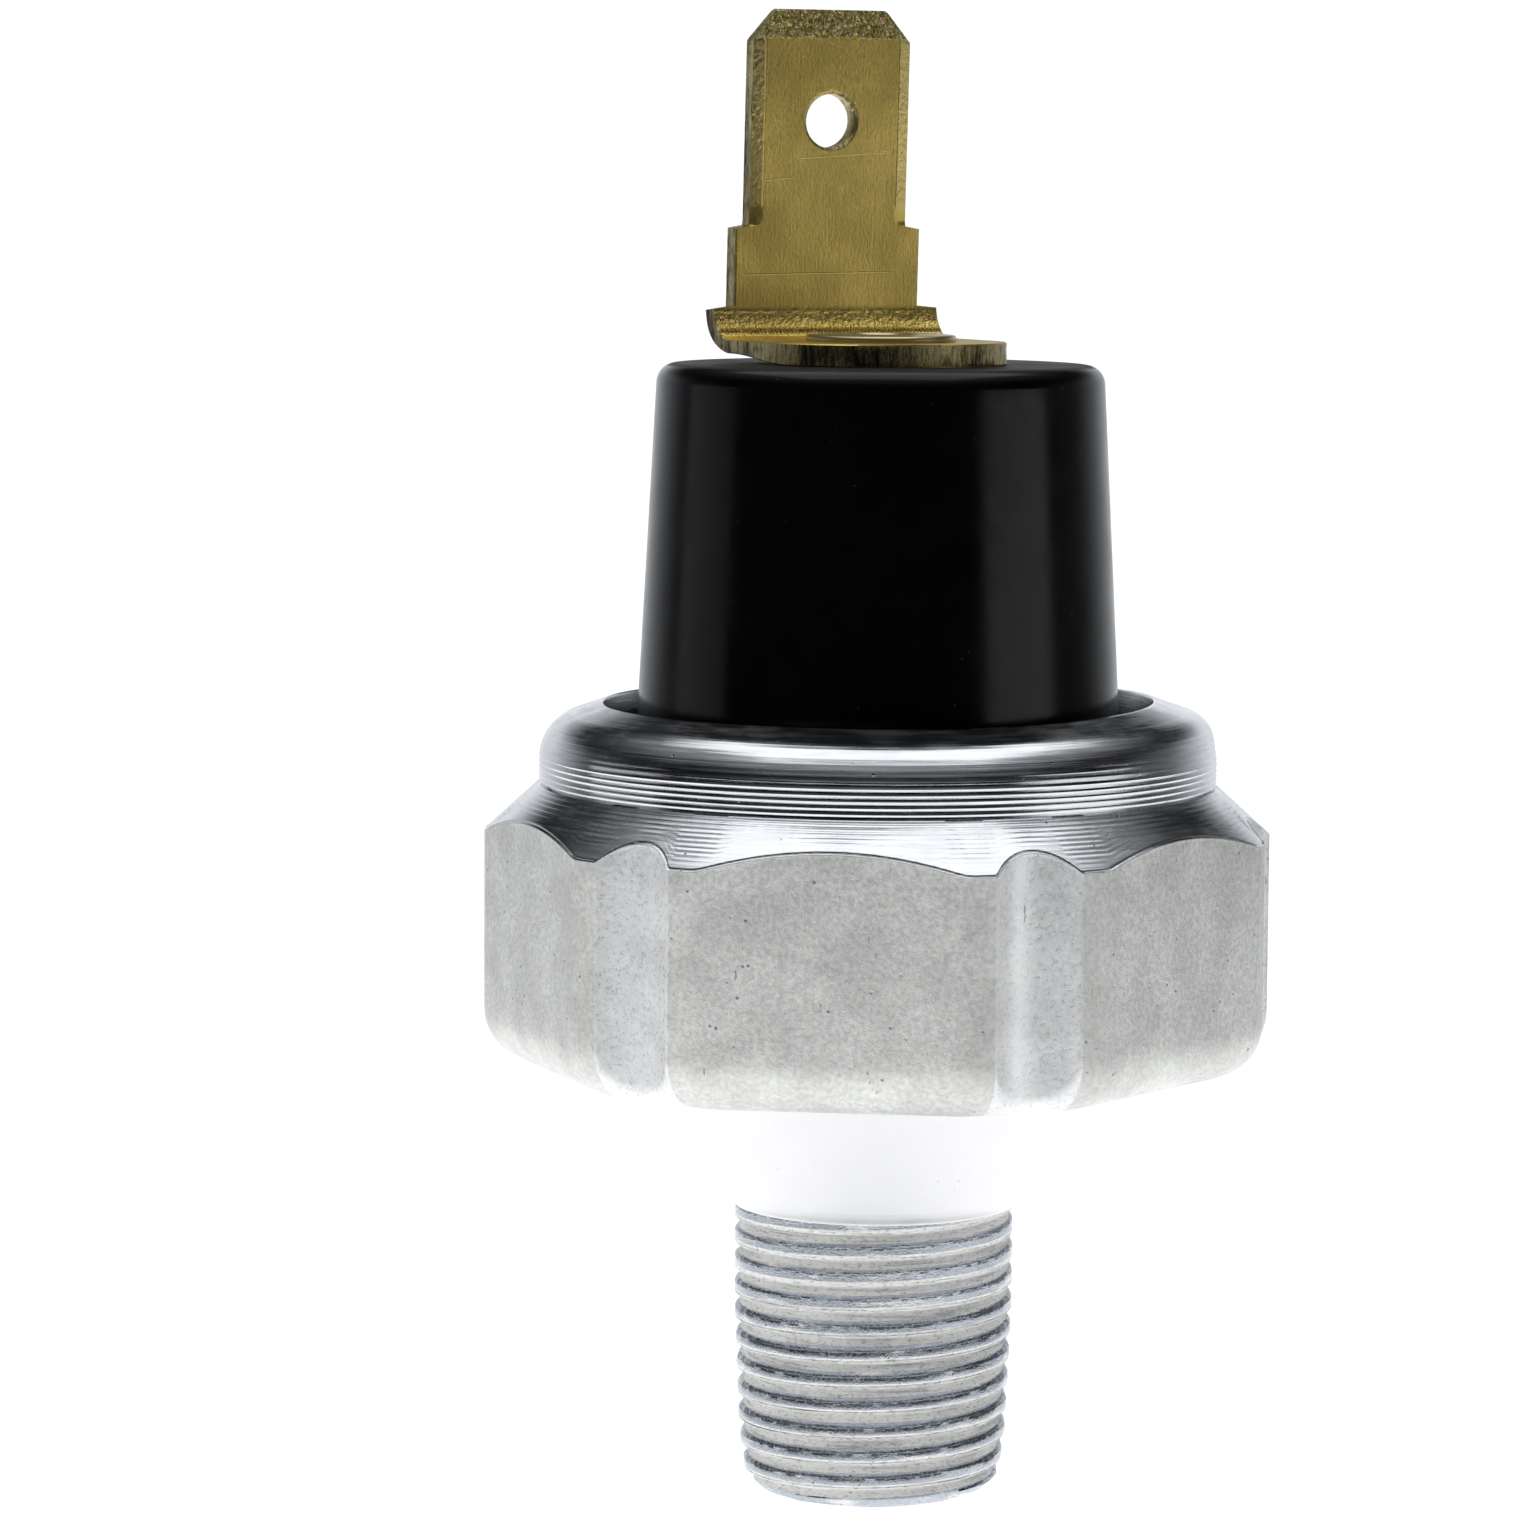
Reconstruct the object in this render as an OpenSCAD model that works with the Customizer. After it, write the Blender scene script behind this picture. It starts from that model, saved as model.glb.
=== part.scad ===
// Diaphragm pressure switch. A hexagon steel body screws in by a taper pipe thread, a moulded
// insulator is crimped into its collar, and one flat blade terminal is riveted on top.
// The contacts are closed at rest: pressure lifts them off the earthed ring against the spring.
// Millimetres. The origin is the centre of the thread's end face, and +Z runs up to the blade.
// The blade's width lies along X and its flat face looks along -Y.

/* [Thread and port] */
// Length of the threaded shank
thread_len = 10.6; // [8:0.1:14]
// Outside diameter of the taper thread at its gauge plane
gauge_d = 9.73; // [9.5:0.01:12]
// Distance of the gauge plane from the end face
gauge_z = 4; // [3:0.1:6]
// Pitch of the thread
thread_pitch = 0.907; // [0.75:0.001:1.1]
// Depth of the thread
thread_depth = 0.52; // [0.4:0.01:0.6]
// Radius of the pressure port
port_r = 1.75; // [1.2:0.05:2.2]
// Radius of the throttle hole between the port and the diaphragm
throttle_r = 0.6; // [0.4:0.05:1]

/* [Body] */
// Height of the conical neck above the thread
neck_h = 5.1; // [4:0.1:8]
// Flare of the neck from the axis, in degrees
neck_angle = 39.5; // [30:0.5:42]
// Step from the thread's last crest out to the neck
neck_step = 0.07; // [0.02:0.01:0.3]
// Size across the wrench flats
wrench_af = 26.7; // [22:0.1:34]
// Height of the hexagon's straight sides
hex_h = 8.4; // [7:0.1:12]
// Rounding of the hexagon's lower edges
hex_edge_r = 2.3; // [1:0.1:3]
// Height that the rounded lands stand above the flats
land_rise = 0.8; // [0.6:0.05:1.1]
// Radius of the upright flutes in the hexagon's corners
flute_r = 2.15; // [1.8:0.05:2.4]
// Turn of the hexagon from the blade's width, in degrees
hex_turn = -3; // [-30:1:30]
// Thickness of the floor under the diaphragm
floor_t = 1.6; // [1.4:0.1:3]

/* [Crimped collar] */
// Step from the flats in to the collar's outside
collar_step = 1.18; // [0.8:0.02:2]
// Wall of the collar
collar_wall = 1.17; // [0.8:0.01:1.5]
// Thickness of the rolled-in lip at its edge
lip_t = 1.25; // [0.9:0.05:1.5]
// Height that the lip rises from the rolled corner to its edge
lip_rise = 0.35; // [0:0.05:0.5]
// Width of the rolled-in lip
lip_w = 1.13; // [0.8:0.01:1.6]
// Outer rounding of the rolled edge
roll_r = 1.3; // [0.6:0.05:1.6]

/* [Insulator] */
// Height of the insulator's base inside the body
base_h = 6.95; // [5:0.05:9]
// Height of the insulator's column above its base
column_h = 13.8; // [10:0.05:20]
// Gap between the rolled lip and the column
column_gap = 1.15; // [0.6:0.05:1.5]
// Draft of the column's side, in degrees
column_draft = 3.05; // [1:0.05:4]
// Rounding of the column's top edge
column_edge_r = 0.7; // [0.3:0.05:1]
// Wall of the column at its top
column_wall = 1.85; // [1.5:0.05:2.5]
// Thickness of the roof that carries the rivet
roof_t = 2.5; // [2:0.1:4]

/* [Diaphragm and contacts] */
// Thickness of one diaphragm ply
ply_t = 0.125; // [0.1:0.005:0.2]
// Lift of the contacts, from rest to the stop
contact_lift = 0.5; // [0.3:0.05:0.8]
// Thickness of the pressure plate on the diaphragm
press_t = 0.8; // [0.6:0.05:1.2]
// Radius of the pressure plate
press_r = 6; // [4.5:0.1:6.2]
// Radius of the push pin
pin_r = 1.5; // [1:0.05:1.8]
// Thickness of the guide plate over the pressure plate
guide_web = 0.9; // [0.7:0.05:1.5]
// Thickness of the flat gaskets
gasket_t = 0.4; // [0.3:0.05:0.8]
// Diameter of the O-ring's section
o_ring_d = 1.5; // [1.2:0.05:1.8]
// Thickness of the fixed contact ring
fixed_t = 0.35; // [0.2:0.05:0.6]
// Height of a contact button
button_h = 0.35; // [0.2:0.05:0.6]
// Radius of a contact button
button_r = 0.55; // [0.4:0.05:0.7]
// Thickness of the moving contact's disc
disc_t = 0.5; // [0.4:0.05:0.8]

/* [Spring and adjusting screw] */
// Wire diameter of the spring
wire_d = 0.6; // [0.4:0.05:0.7]
// Mean radius of the spring
spring_r = 3.05; // [2.8:0.05:3.2]
// Number of turns of the spring
spring_turns = 8; // [6:1:10]
// Radius of the adjusting screw
screw_r = 1; // [0.8:0.05:1.1]
// Depth of the screw below the rivet's head
screw_sunk = 0.9; // [0.6:0.05:1.2]
// Room between the rivet's lower flange and the spring seat
seat_drop = 2.2; // [1:0.1:4]

/* [Terminal] */
// Width of the blade's plug-in tab
tab_w = 6.3; // [4.8:0.1:6.5]
// Thickness of the terminal's sheet
tab_t = 0.8; // [0.5:0.05:1]
// Length of the plug-in tab
tab_len = 8.05; // [6:0.05:10]
// Width of the shoulder below the tab
shoulder_w = 7.4; // [6.8:0.1:8.4]
// Height of the shoulder above the bend
shoulder_h = 2.55; // [1.5:0.05:4]
// Width of the foot and the bend
foot_w = 9; // [8.5:0.1:9.4]
// Distance of the blade's middle plane from the axis, at the bend
blade_offset = 4.9; // [4.8:0.05:5.1]
// Inside radius of the bend
bend_r = 1.2; // [0.8:0.05:1.8]
// Lean of the blade over its foot, in degrees
blade_lean = 2.6; // [0:0.1:5]
// Radius of the hole in the tab
tab_hole_r = 1; // [0.8:0.05:1.2]
// Distance of the hole below the tab's end
tab_hole_drop = 4.1; // [3.5:0.1:5]
// Radius of the rivet's shank
rivet_r = 1.8; // [1.6:0.05:2]
// Radius of the rivet's head
rivet_head_r = 2.35; // [2.2:0.05:2.6]
// Height of the rivet's head
rivet_head_h = 0.35; // [0.25:0.05:0.5]

/* [Hidden] */
$fn = 96;
over = 1;                                   // how far a cutting shape runs past what it cuts
pin_gap = 0.05;                             // radial clearance of a sliding pin or screw
slip_gap = 0.1;                             // radial clearance of pieces dropped into the body

// Radii of the body, each taken from the wrench size
flat_r = wrench_af / 2;
land_r = flat_r + land_rise;
collar_r = flat_r - collar_step;
cavity_r = collar_r - collar_wall;
stack_r = cavity_r - slip_gap;
lip_r = cavity_r - lip_w;
flute_place = flat_r + flute_r;             // the flutes reach in as deep as the flats

// Radii of the diaphragm's seat
groove_w = o_ring_d + 0.4;
groove_place = cavity_r - 0.7 - groove_w / 2;
chamber_r = groove_place - groove_w / 2 - 0.8;
press_edge_r = min(press_r, chamber_r - 0.5);
squash = 0.13;                              // share of its height that the O-ring is pressed by
groove_depth = o_ring_d * (1 - squash);

// Radii inside the insulator
column_low_r = lip_r - column_gap;
column_top_r = column_low_r - column_h * tan(column_draft);
bore_r = column_top_r - column_wall;
contact_r = bore_r - 0.9;                   // circle that the contact buttons stand on
ring_half_w = button_r + 0.15;
disc_r = contact_r + button_r + 0.5;
room_r = disc_r + 1;                        // room around the moving contact
boss_r = spring_r - wire_d / 2 - 0.15;
boss_h = 1.2;

// Heights, from the thread's end up
hex_z = thread_len + neck_h;
floor_z = hex_z + floor_t;
chamber_depth = 0.4;
diaphragm_z = floor_z + 2 * ply_t;
stop_z = diaphragm_z + press_t + contact_lift;
guide_z = stop_z + guide_web;
fixed_z = guide_z + fixed_t;
disc_z = fixed_z + button_h;
disc_top_z = disc_z + disc_t;
base_z = guide_z + gasket_t;
flange_z = base_z + base_h;
lip_z = flange_z + gasket_t;
collar_top_z = lip_z + lip_t;
shoulder_z = hex_z + hex_h;
cone_h = (land_r - collar_r) * 0.9;
roof_z = flange_z + column_h;
washer_t = 0.5;
clinch_h = 0.4;
roof_low_z = roof_z - roof_t;
washer_z = roof_low_z - washer_t;
clinch_z = washer_z - clinch_h;
seat_z = clinch_z - seat_drop;
seat_t = 0.6;
seat_low_z = seat_z - seat_t;
foot_z = roof_z + tab_t;
head_z = foot_z + rivet_head_h;
screw_top_z = head_z - screw_sunk;
room_z = disc_top_z + contact_lift + boss_h + 0.5;

// Rivet, washer and seal
clinch_r = rivet_r + 0.6;
washer_r = min(4, bore_r - 0.3);
seal_d = 0.9;                               // section of the seal around the rivet
seal_depth = seal_d * (1 - squash);
seat_r = min(spring_r + wire_d / 2 + 0.25, bore_r - 0.2);

// Bend of the terminal
bend_y = blade_offset - tab_t / 2 - bend_r;
bend_z = foot_z + bend_r;
tab_bevel_w = 0.5;
tab_bevel_t = 0.17;
tab_nose_h = 1;
tab_corner_h = 1.15;
tab_corner_w = 0.95;
step_h = 0.15;                              // height of the step from the bend in to the shoulder

// A ring of rectangular section
module ring(inner, outer, low, high) {
    rotate_extrude() translate([inner, low]) square([outer - inner, high - low]);
}

// A plain disc from one height to another
module disc(r, low, high) {
    translate([0, 0, low]) cylinder(r = r, h = high - low);
}

// Half-section of a disc whose upper outer edge is rounded
module round_top_section(r, low, high, edge) {
    translate([0, low]) square([r, high - low - edge]);
    translate([0, low]) square([r - edge, high - low]);
    translate([r - edge, high - edge]) circle(r = edge);
}

// Half-section of an O-ring pressed flat to fill the depth of its groove
module pressed_ring_section(place, low, section_d) {
    depth = section_d * (1 - squash);
    intersection() {
        translate([place, low + depth / 2]) circle(d = section_d);
        translate([place - section_d, low]) square([2 * section_d, depth]);
    }
}

// ---- Taper thread ----

function thread_r(z) = gauge_d / 2 + (z - gauge_z) / 32;

thread_steps = 32;                          // steps around one turn
form_at = [0, 1 / 6, 1 / 2, 2 / 3];         // crest, crest end, root, root end, in pitches
form_cut = [0, 0, 1, 1];                    // depth there, in thread depths
form_n = len(form_at);
thread_turns = ceil(thread_len / thread_pitch) + 3;
thread_rows = thread_turns * form_n;

function thread_z(row, step) =
    (floor(row / form_n) + form_at[row % form_n] + step / thread_steps - 2) * thread_pitch;
function thread_point(row, step) =
    let (z = thread_z(row, step), a = 360 * step / thread_steps)
    let (r = thread_r(z) - thread_depth * form_cut[row % form_n])
    [r * cos(a), r * sin(a), z];
// The last step of a row is the first step of the row one turn higher
function thread_index(row, step) =
    step == thread_steps ? thread_index(row + form_n, 0)
    : row > thread_rows ? (thread_rows + 1) * thread_steps + row - thread_rows - 1
    : row * thread_steps + step;
function thread_rim(row) = concat(
    [for (step = [0 : thread_steps]) thread_index(row, step)],
    [for (up = [form_n - 1 : -1 : 1]) thread_index(row + up, 0)]);

module thread_rod() {
    points = concat(
        [for (row = [0 : thread_rows], step = [0 : thread_steps - 1]) thread_point(row, step)],
        [for (up = [1 : form_n]) thread_point(thread_rows + up, 0)],
        [[0, 0, thread_z(0, thread_steps / 2)], [0, 0, thread_z(thread_rows, thread_steps / 2)]]);
    low_rim = thread_rim(0);
    high_rim = thread_rim(thread_rows);
    rim_n = len(low_rim);
    low_mid = len(points) - 2;
    high_mid = len(points) - 1;
    sides = [for (row = [0 : thread_rows - 1], step = [0 : thread_steps - 1])
        let (a = thread_index(row, step), b = thread_index(row, step + 1))
        let (c = thread_index(row + 1, step + 1), d = thread_index(row + 1, step))
        each [[a, d, c], [a, c, b]]];
    low_cap = [for (i = [0 : rim_n - 1]) [low_mid, low_rim[i], low_rim[(i + 1) % rim_n]]];
    high_cap = [for (i = [0 : rim_n - 1]) [high_mid, high_rim[(i + 1) % rim_n], high_rim[i]]];
    polyhedron(points = points, faces = concat(sides, low_cap, high_cap));
}

// Bar that the thread is cut on: square at the neck, with a rounded-off lead-in at the end
module thread_blank() {
    nose_r = thread_r(0) - 1.5;
    rotate_extrude() polygon([[0, 0], [nose_r, 0], [nose_r + 0.9, 0.2], [nose_r + 1.45, 0.8],
        [nose_r + 1.8, 2], [nose_r + 3, 2], [nose_r + 3, thread_len], [0, thread_len]]);
}

// ---- Body ----

// Section of a bar as wide as the wrench size with rounded lower edges
module flats_section() {
    top = collar_top_z - hex_z;
    translate([-flat_r, hex_edge_r]) square([wrench_af, top]);
    translate([-flat_r + hex_edge_r, 0]) square([wrench_af - 2 * hex_edge_r, top]);
    for (side = [-1, 1]) translate([side * (flat_r - hex_edge_r), hex_edge_r]) circle(r = hex_edge_r);
}

module flats_bar(turn) {
    rotate([0, 0, turn]) translate([0, 0, hex_z]) rotate([90, 0, 0])
        linear_extrude(height = 4 * land_r, center = true) flats_section();
}

// Turned blank of the hexagon: rounded below, coned above
module hex_blank() {
    rotate_extrude() {
        translate([0, hex_z]) square([land_r - hex_edge_r, hex_h]);
        translate([0, hex_z + hex_edge_r]) square([land_r, hex_h - hex_edge_r]);
        translate([land_r - hex_edge_r, hex_z + hex_edge_r]) circle(r = hex_edge_r);
        polygon([[0, shoulder_z], [land_r, shoulder_z], [collar_r, shoulder_z + cone_h],
            [0, shoulder_z + cone_h]]);
    }
}

module hexagon() {
    difference() {
        intersection() {
            hex_blank();
            flats_bar(hex_turn);
            flats_bar(hex_turn + 60);
            flats_bar(hex_turn + 120);
        }
        for (corner = [0 : 5]) rotate([0, 0, hex_turn + 30 + 60 * corner])
            translate([flute_place, 0, hex_z - over]) cylinder(r = flute_r, h = hex_h + cone_h + 2 * over);
    }
}

// Conical neck, with a core that runs on into the thread and the hexagon
module neck() {
    low_r = thread_r(thread_len) + neck_step;
    translate([0, 0, thread_len])
        cylinder(r1 = low_r, r2 = low_r + neck_h * tan(neck_angle), h = neck_h);
    disc(low_r - 1.5 * thread_depth, thread_len - 2, hex_z + floor_t / 2);
}

// Collar with its rim rolled in: rounded at the corner, then rising to the lip's edge
module collar() {
    corner_z = collar_top_z - lip_rise;
    rotate_extrude() {
        round_top_section(collar_r, shoulder_z, corner_z, roll_r);
        polygon([[0, shoulder_z], [collar_r - roll_r, shoulder_z], [collar_r - roll_r, corner_z],
            [lip_r, collar_top_z], [0, collar_top_z]]);
    }
}

// Port, drill point, throttle, chamber, O-ring groove, cavity and mouth of the lip
module pressure_way() {
    port_len = hex_z - 2.9;
    point_h = (port_r - throttle_r) * 0.6;
    disc(port_r, -over, port_len);
    translate([0, 0, port_len]) cylinder(r1 = port_r, r2 = throttle_r, h = point_h);
    disc(throttle_r, port_len, floor_z);
    disc(chamber_r, floor_z - chamber_depth, floor_z + over);
    ring(groove_place - groove_w / 2, groove_place + groove_w / 2, floor_z - groove_depth, floor_z);
    disc(cavity_r, floor_z, lip_z);
    disc(lip_r, lip_z - over, collar_top_z + over);
}

module housing() color("silver") {
    difference() {
        union() {
            intersection() {
                thread_rod();
                thread_blank();
            }
            neck();
            hexagon();
            collar();
        }
        pressure_way();
    }
}

// ---- Diaphragm ----

module diaphragm_o_ring() color("dimgray") {
    rotate_extrude() pressed_ring_section(groove_place, floor_z - groove_depth, o_ring_d);
}

module diaphragm_ply_lower() color("goldenrod") disc(stack_r, floor_z, floor_z + ply_t);

module diaphragm_ply_upper() color("darkgoldenrod") disc(stack_r, floor_z + ply_t, diaphragm_z);

// ---- Moving pieces ----

spigot_r = pin_r / 2;
spigot_h = press_t * 0.6;

module pressure_plate() color("lightsteelblue") {
    difference() {
        rotate_extrude() round_top_section(press_edge_r, diaphragm_z, diaphragm_z + press_t, 0.2);
        disc(spigot_r, diaphragm_z + press_t - spigot_h, diaphragm_z + press_t + over);
    }
}

module push_pin() color("saddlebrown") {
    foot = diaphragm_z + press_t;
    disc(spigot_r, foot - spigot_h, foot);
    disc(pin_r, foot, disc_z);
}

module moving_contact() color("gold") {
    disc(disc_r, disc_z, disc_top_z);
    rotate_extrude() round_top_section(boss_r, disc_z, disc_top_z + boss_h, 0.3);
}

module contact_buttons() color("gainsboro") {
    for (k = [0 : 2]) rotate([0, 0, 120 * k]) translate([contact_r, 0, 0]) disc(button_r, fixed_z, disc_z);
}

// ---- Clamped stack above the diaphragm ----

module guide_plate() color("darkgray") {
    difference() {
        disc(stack_r, diaphragm_z, guide_z);
        disc(press_edge_r + 0.2, diaphragm_z - over, stop_z);
        disc(pin_r + pin_gap, diaphragm_z, guide_z + over);
    }
}

module fixed_contact_ring() color("whitesmoke") {
    ring(contact_r - ring_half_w, contact_r + ring_half_w, guide_z, fixed_z);
}

module base_gasket() color("darkolivegreen") ring(room_r + 0.6, stack_r, guide_z, base_z);

module lip_gasket() color("black") ring(lip_r - 0.4, stack_r, flange_z, lip_z);

// ---- Insulator ----

// The bore stays as wide as at the column's top, and opens out below around the moving contact
module insulator() color([0.06, 0.06, 0.07]) {
    edge_x = column_top_r + column_edge_r * (tan(column_draft) - 1 / cos(column_draft));
    edge_z = roof_z - column_edge_r;
    difference() {
        rotate_extrude() {
            round_top_section(stack_r, base_z, flange_z, 0.3);
            polygon([[0, flange_z - over], [column_low_r, flange_z - over], [column_low_r, flange_z],
                [edge_x + column_edge_r * cos(column_draft), edge_z + column_edge_r * sin(column_draft)],
                [edge_x, roof_z], [0, roof_z]]);
            translate([edge_x, edge_z]) circle(r = column_edge_r);
        }
        disc(room_r, base_z - over, room_z);
        disc(bore_r, base_z, roof_low_z);
        disc(rivet_r, roof_low_z - over, roof_z + over);
        disc(rivet_r + seal_d + 0.1, roof_z - seal_depth, roof_z + over);
    }
}

// ---- Spring, its seat and the adjusting screw ----

wire_sides = 8;
coil_steps = 20;
spring_low = disc_top_z + wire_d / 2;
spring_high = seat_low_z - 0.05 - wire_d / 2;
end_rise = wire_d * 1.05;                   // rise of a closed end turn
open_rise = (spring_high - spring_low - 2 * end_rise) / (spring_turns - 2);

function coil_z(turn) = spring_low
    + end_rise * (min(turn, 1) + max(turn - spring_turns + 1, 0))
    + open_rise * max(min(turn, spring_turns - 1) - 1, 0);

module contact_spring() color("steelblue") {
    rings = spring_turns * coil_steps;
    points = [for (i = [0 : rings], s = [0 : wire_sides - 1])
        let (a = 360 * i / coil_steps, b = 360 * s / wire_sides, r = spring_r + wire_d / 2 * cos(b))
        [r * cos(a), r * sin(a), coil_z(i / coil_steps) + wire_d / 2 * sin(b)]];
    sides = [for (i = [0 : rings - 1], s = [0 : wire_sides - 1])
        let (a = i * wire_sides + s, b = i * wire_sides + (s + 1) % wire_sides)
        each [[a, b, b + wire_sides], [a, b + wire_sides, a + wire_sides]]];
    low_cap = [[for (s = [wire_sides - 1 : -1 : 0]) s]];
    high_cap = [[for (s = [0 : wire_sides - 1]) rings * wire_sides + s]];
    polyhedron(points = points, faces = concat(sides, low_cap, high_cap));
}

module spring_seat() color("khaki") {
    disc(seat_r, seat_low_z, seat_z);
    disc(boss_r, seat_low_z - boss_h, seat_z);
}

module adjusting_screw() color("goldenrod") {
    slot_w = 0.4;
    difference() {
        union() {
            translate([0, 0, seat_z]) cylinder(r1 = screw_r * 0.7, r2 = screw_r, h = screw_r * 0.3);
            disc(screw_r, seat_z + screw_r * 0.3, screw_top_z);
        }
        translate([-slot_w / 2, -screw_r - over, screw_top_z - 0.5])
            cube([slot_w, 2 * (screw_r + over), 0.5 + over]);
    }
}

// ---- Terminal and its rivet ----

module inner_washer() color("lightgray") ring(rivet_r, washer_r, washer_z, roof_low_z);

module rivet_seal() color("dimgray") {
    rotate_extrude() pressed_ring_section(rivet_r + seal_d / 2, roof_z - seal_depth, seal_d);
}

module terminal_rivet() color("darkkhaki") {
    difference() {
        union() {
            disc(clinch_r, clinch_z, washer_z);
            disc(rivet_r, clinch_z, foot_z);
            rotate_extrude() round_top_section(rivet_head_r, foot_z, head_z, 0.4 * (head_z - foot_z));
        }
        disc(screw_r + pin_gap, clinch_z - over, head_z + over);
    }
}

// Right half of the blade's outline, from the bend up; the bend ends at height 0
function blade_edge() =
    let (end = shoulder_h + tab_len, half = tab_w / 2)
    [[foot_w / 2, 0], [foot_w / 2, step_h / 2], [foot_w / 2 - step_h / 2, step_h],
        [shoulder_w / 2, step_h], [shoulder_w / 2, shoulder_h], [half, shoulder_h],
        [half, end - tab_corner_h], [half - tab_corner_w, end]];

// Outline of the upright blade, seen along its flat face
module blade_outline() {
    edge = blade_edge();
    polygon(concat(edge, [for (i = [len(edge) - 1 : -1 : 0]) [-edge[i][0], edge[i][1]]]));
}

// Blade thickness seen from its edge: the end is thinned to a nose for the plug
module blade_side() {
    end = shoulder_h + tab_len;
    nose = tab_t / 2 - tab_bevel_t;
    polygon([[-tab_t / 2, 0], [-tab_t / 2, end - tab_nose_h], [-nose, end], [nose, end],
        [tab_t / 2, end - tab_nose_h], [tab_t / 2, 0]]);
}

// Blade section seen from its end, with coined edges along the tab
module tab_section() {
    edge = tab_t / 2 - tab_bevel_t;
    half = tab_w / 2;
    polygon([[-half, -edge], [-half, edge], [-half + tab_bevel_w, tab_t / 2],
        [half - tab_bevel_w, tab_t / 2], [half, edge], [half, -edge],
        [half - tab_bevel_w, -tab_t / 2], [-half + tab_bevel_w, -tab_t / 2]]);
}

module blade() {
    end = shoulder_h + tab_len;
    difference() {
        intersection() {
            translate([0, tab_t / 2, 0]) rotate([90, 0, 0]) linear_extrude(height = tab_t) blade_outline();
            rotate([90, 0, 90]) linear_extrude(height = 2 * foot_w, center = true) blade_side();
            union() {
                linear_extrude(height = end + over) tab_section();
                translate([-foot_w, -tab_t, 0]) cube([2 * foot_w, 2 * tab_t, shoulder_h]);
            }
        }
        translate([0, tab_t, end - tab_hole_drop]) rotate([90, 0, 0])
            cylinder(r = tab_hole_r, h = 2 * tab_t);
    }
}

module terminal() color("tan") {
    difference() {
        union() {
            disc(foot_w / 2, roof_z, foot_z);
            translate([-foot_w / 2, 0, roof_z]) cube([foot_w, bend_y, tab_t]);
        }
        disc(rivet_r, roof_z - over, foot_z + over);
    }
    translate([0, bend_y, bend_z]) {
        rotate([90, 0, 90]) rotate([0, 0, -90]) rotate_extrude(angle = 90 + blade_lean)
            translate([bend_r, -foot_w / 2]) square([tab_t, foot_w]);
        rotate([blade_lean, 0, 0]) translate([0, bend_r + tab_t / 2, 0]) blade();
    }
}

housing();
diaphragm_o_ring();
diaphragm_ply_lower();
diaphragm_ply_upper();
pressure_plate();
push_pin();
guide_plate();
fixed_contact_ring();
moving_contact();
contact_buttons();
contact_spring();
spring_seat();
adjusting_screw();
base_gasket();
insulator();
lip_gasket();
inner_washer();
rivet_seal();
terminal();
terminal_rivet();
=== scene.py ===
"""Looks of a crimped diaphragm pressure switch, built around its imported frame.

The turned steel body, the moulded insulator, the blade terminal and its rivet are meshes of
their own. The pieces inside keep their frame shape and get a finish. Sizes are in millimetres
and are scaled to metres when a mesh is made.
"""

import logging
import math
from dataclasses import dataclass
from enum import Enum
from typing import Callable, Iterable, Sequence

import bmesh
import bpy
import numpy as np
from mathutils import Matrix, Vector, noise


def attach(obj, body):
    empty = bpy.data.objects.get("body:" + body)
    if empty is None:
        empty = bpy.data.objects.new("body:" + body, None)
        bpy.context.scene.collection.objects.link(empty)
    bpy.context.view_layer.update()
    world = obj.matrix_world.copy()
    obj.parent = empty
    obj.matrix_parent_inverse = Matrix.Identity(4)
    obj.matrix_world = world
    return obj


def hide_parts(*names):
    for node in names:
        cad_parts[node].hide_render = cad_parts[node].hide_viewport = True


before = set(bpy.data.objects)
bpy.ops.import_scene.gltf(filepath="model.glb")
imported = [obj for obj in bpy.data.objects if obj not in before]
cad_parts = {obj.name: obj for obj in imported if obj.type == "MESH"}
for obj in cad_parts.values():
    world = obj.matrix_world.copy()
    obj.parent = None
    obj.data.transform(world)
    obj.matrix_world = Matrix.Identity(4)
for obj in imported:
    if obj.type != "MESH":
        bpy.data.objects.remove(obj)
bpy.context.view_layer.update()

MM = 0.001
log = logging.getLogger("pressure_switch")

Colour = tuple[float, float, float]
Point = tuple[float, float]
Profile = list[Point]
Spread = np.ndarray | float


# ---------------------------------------------------------------- shader building


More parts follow.
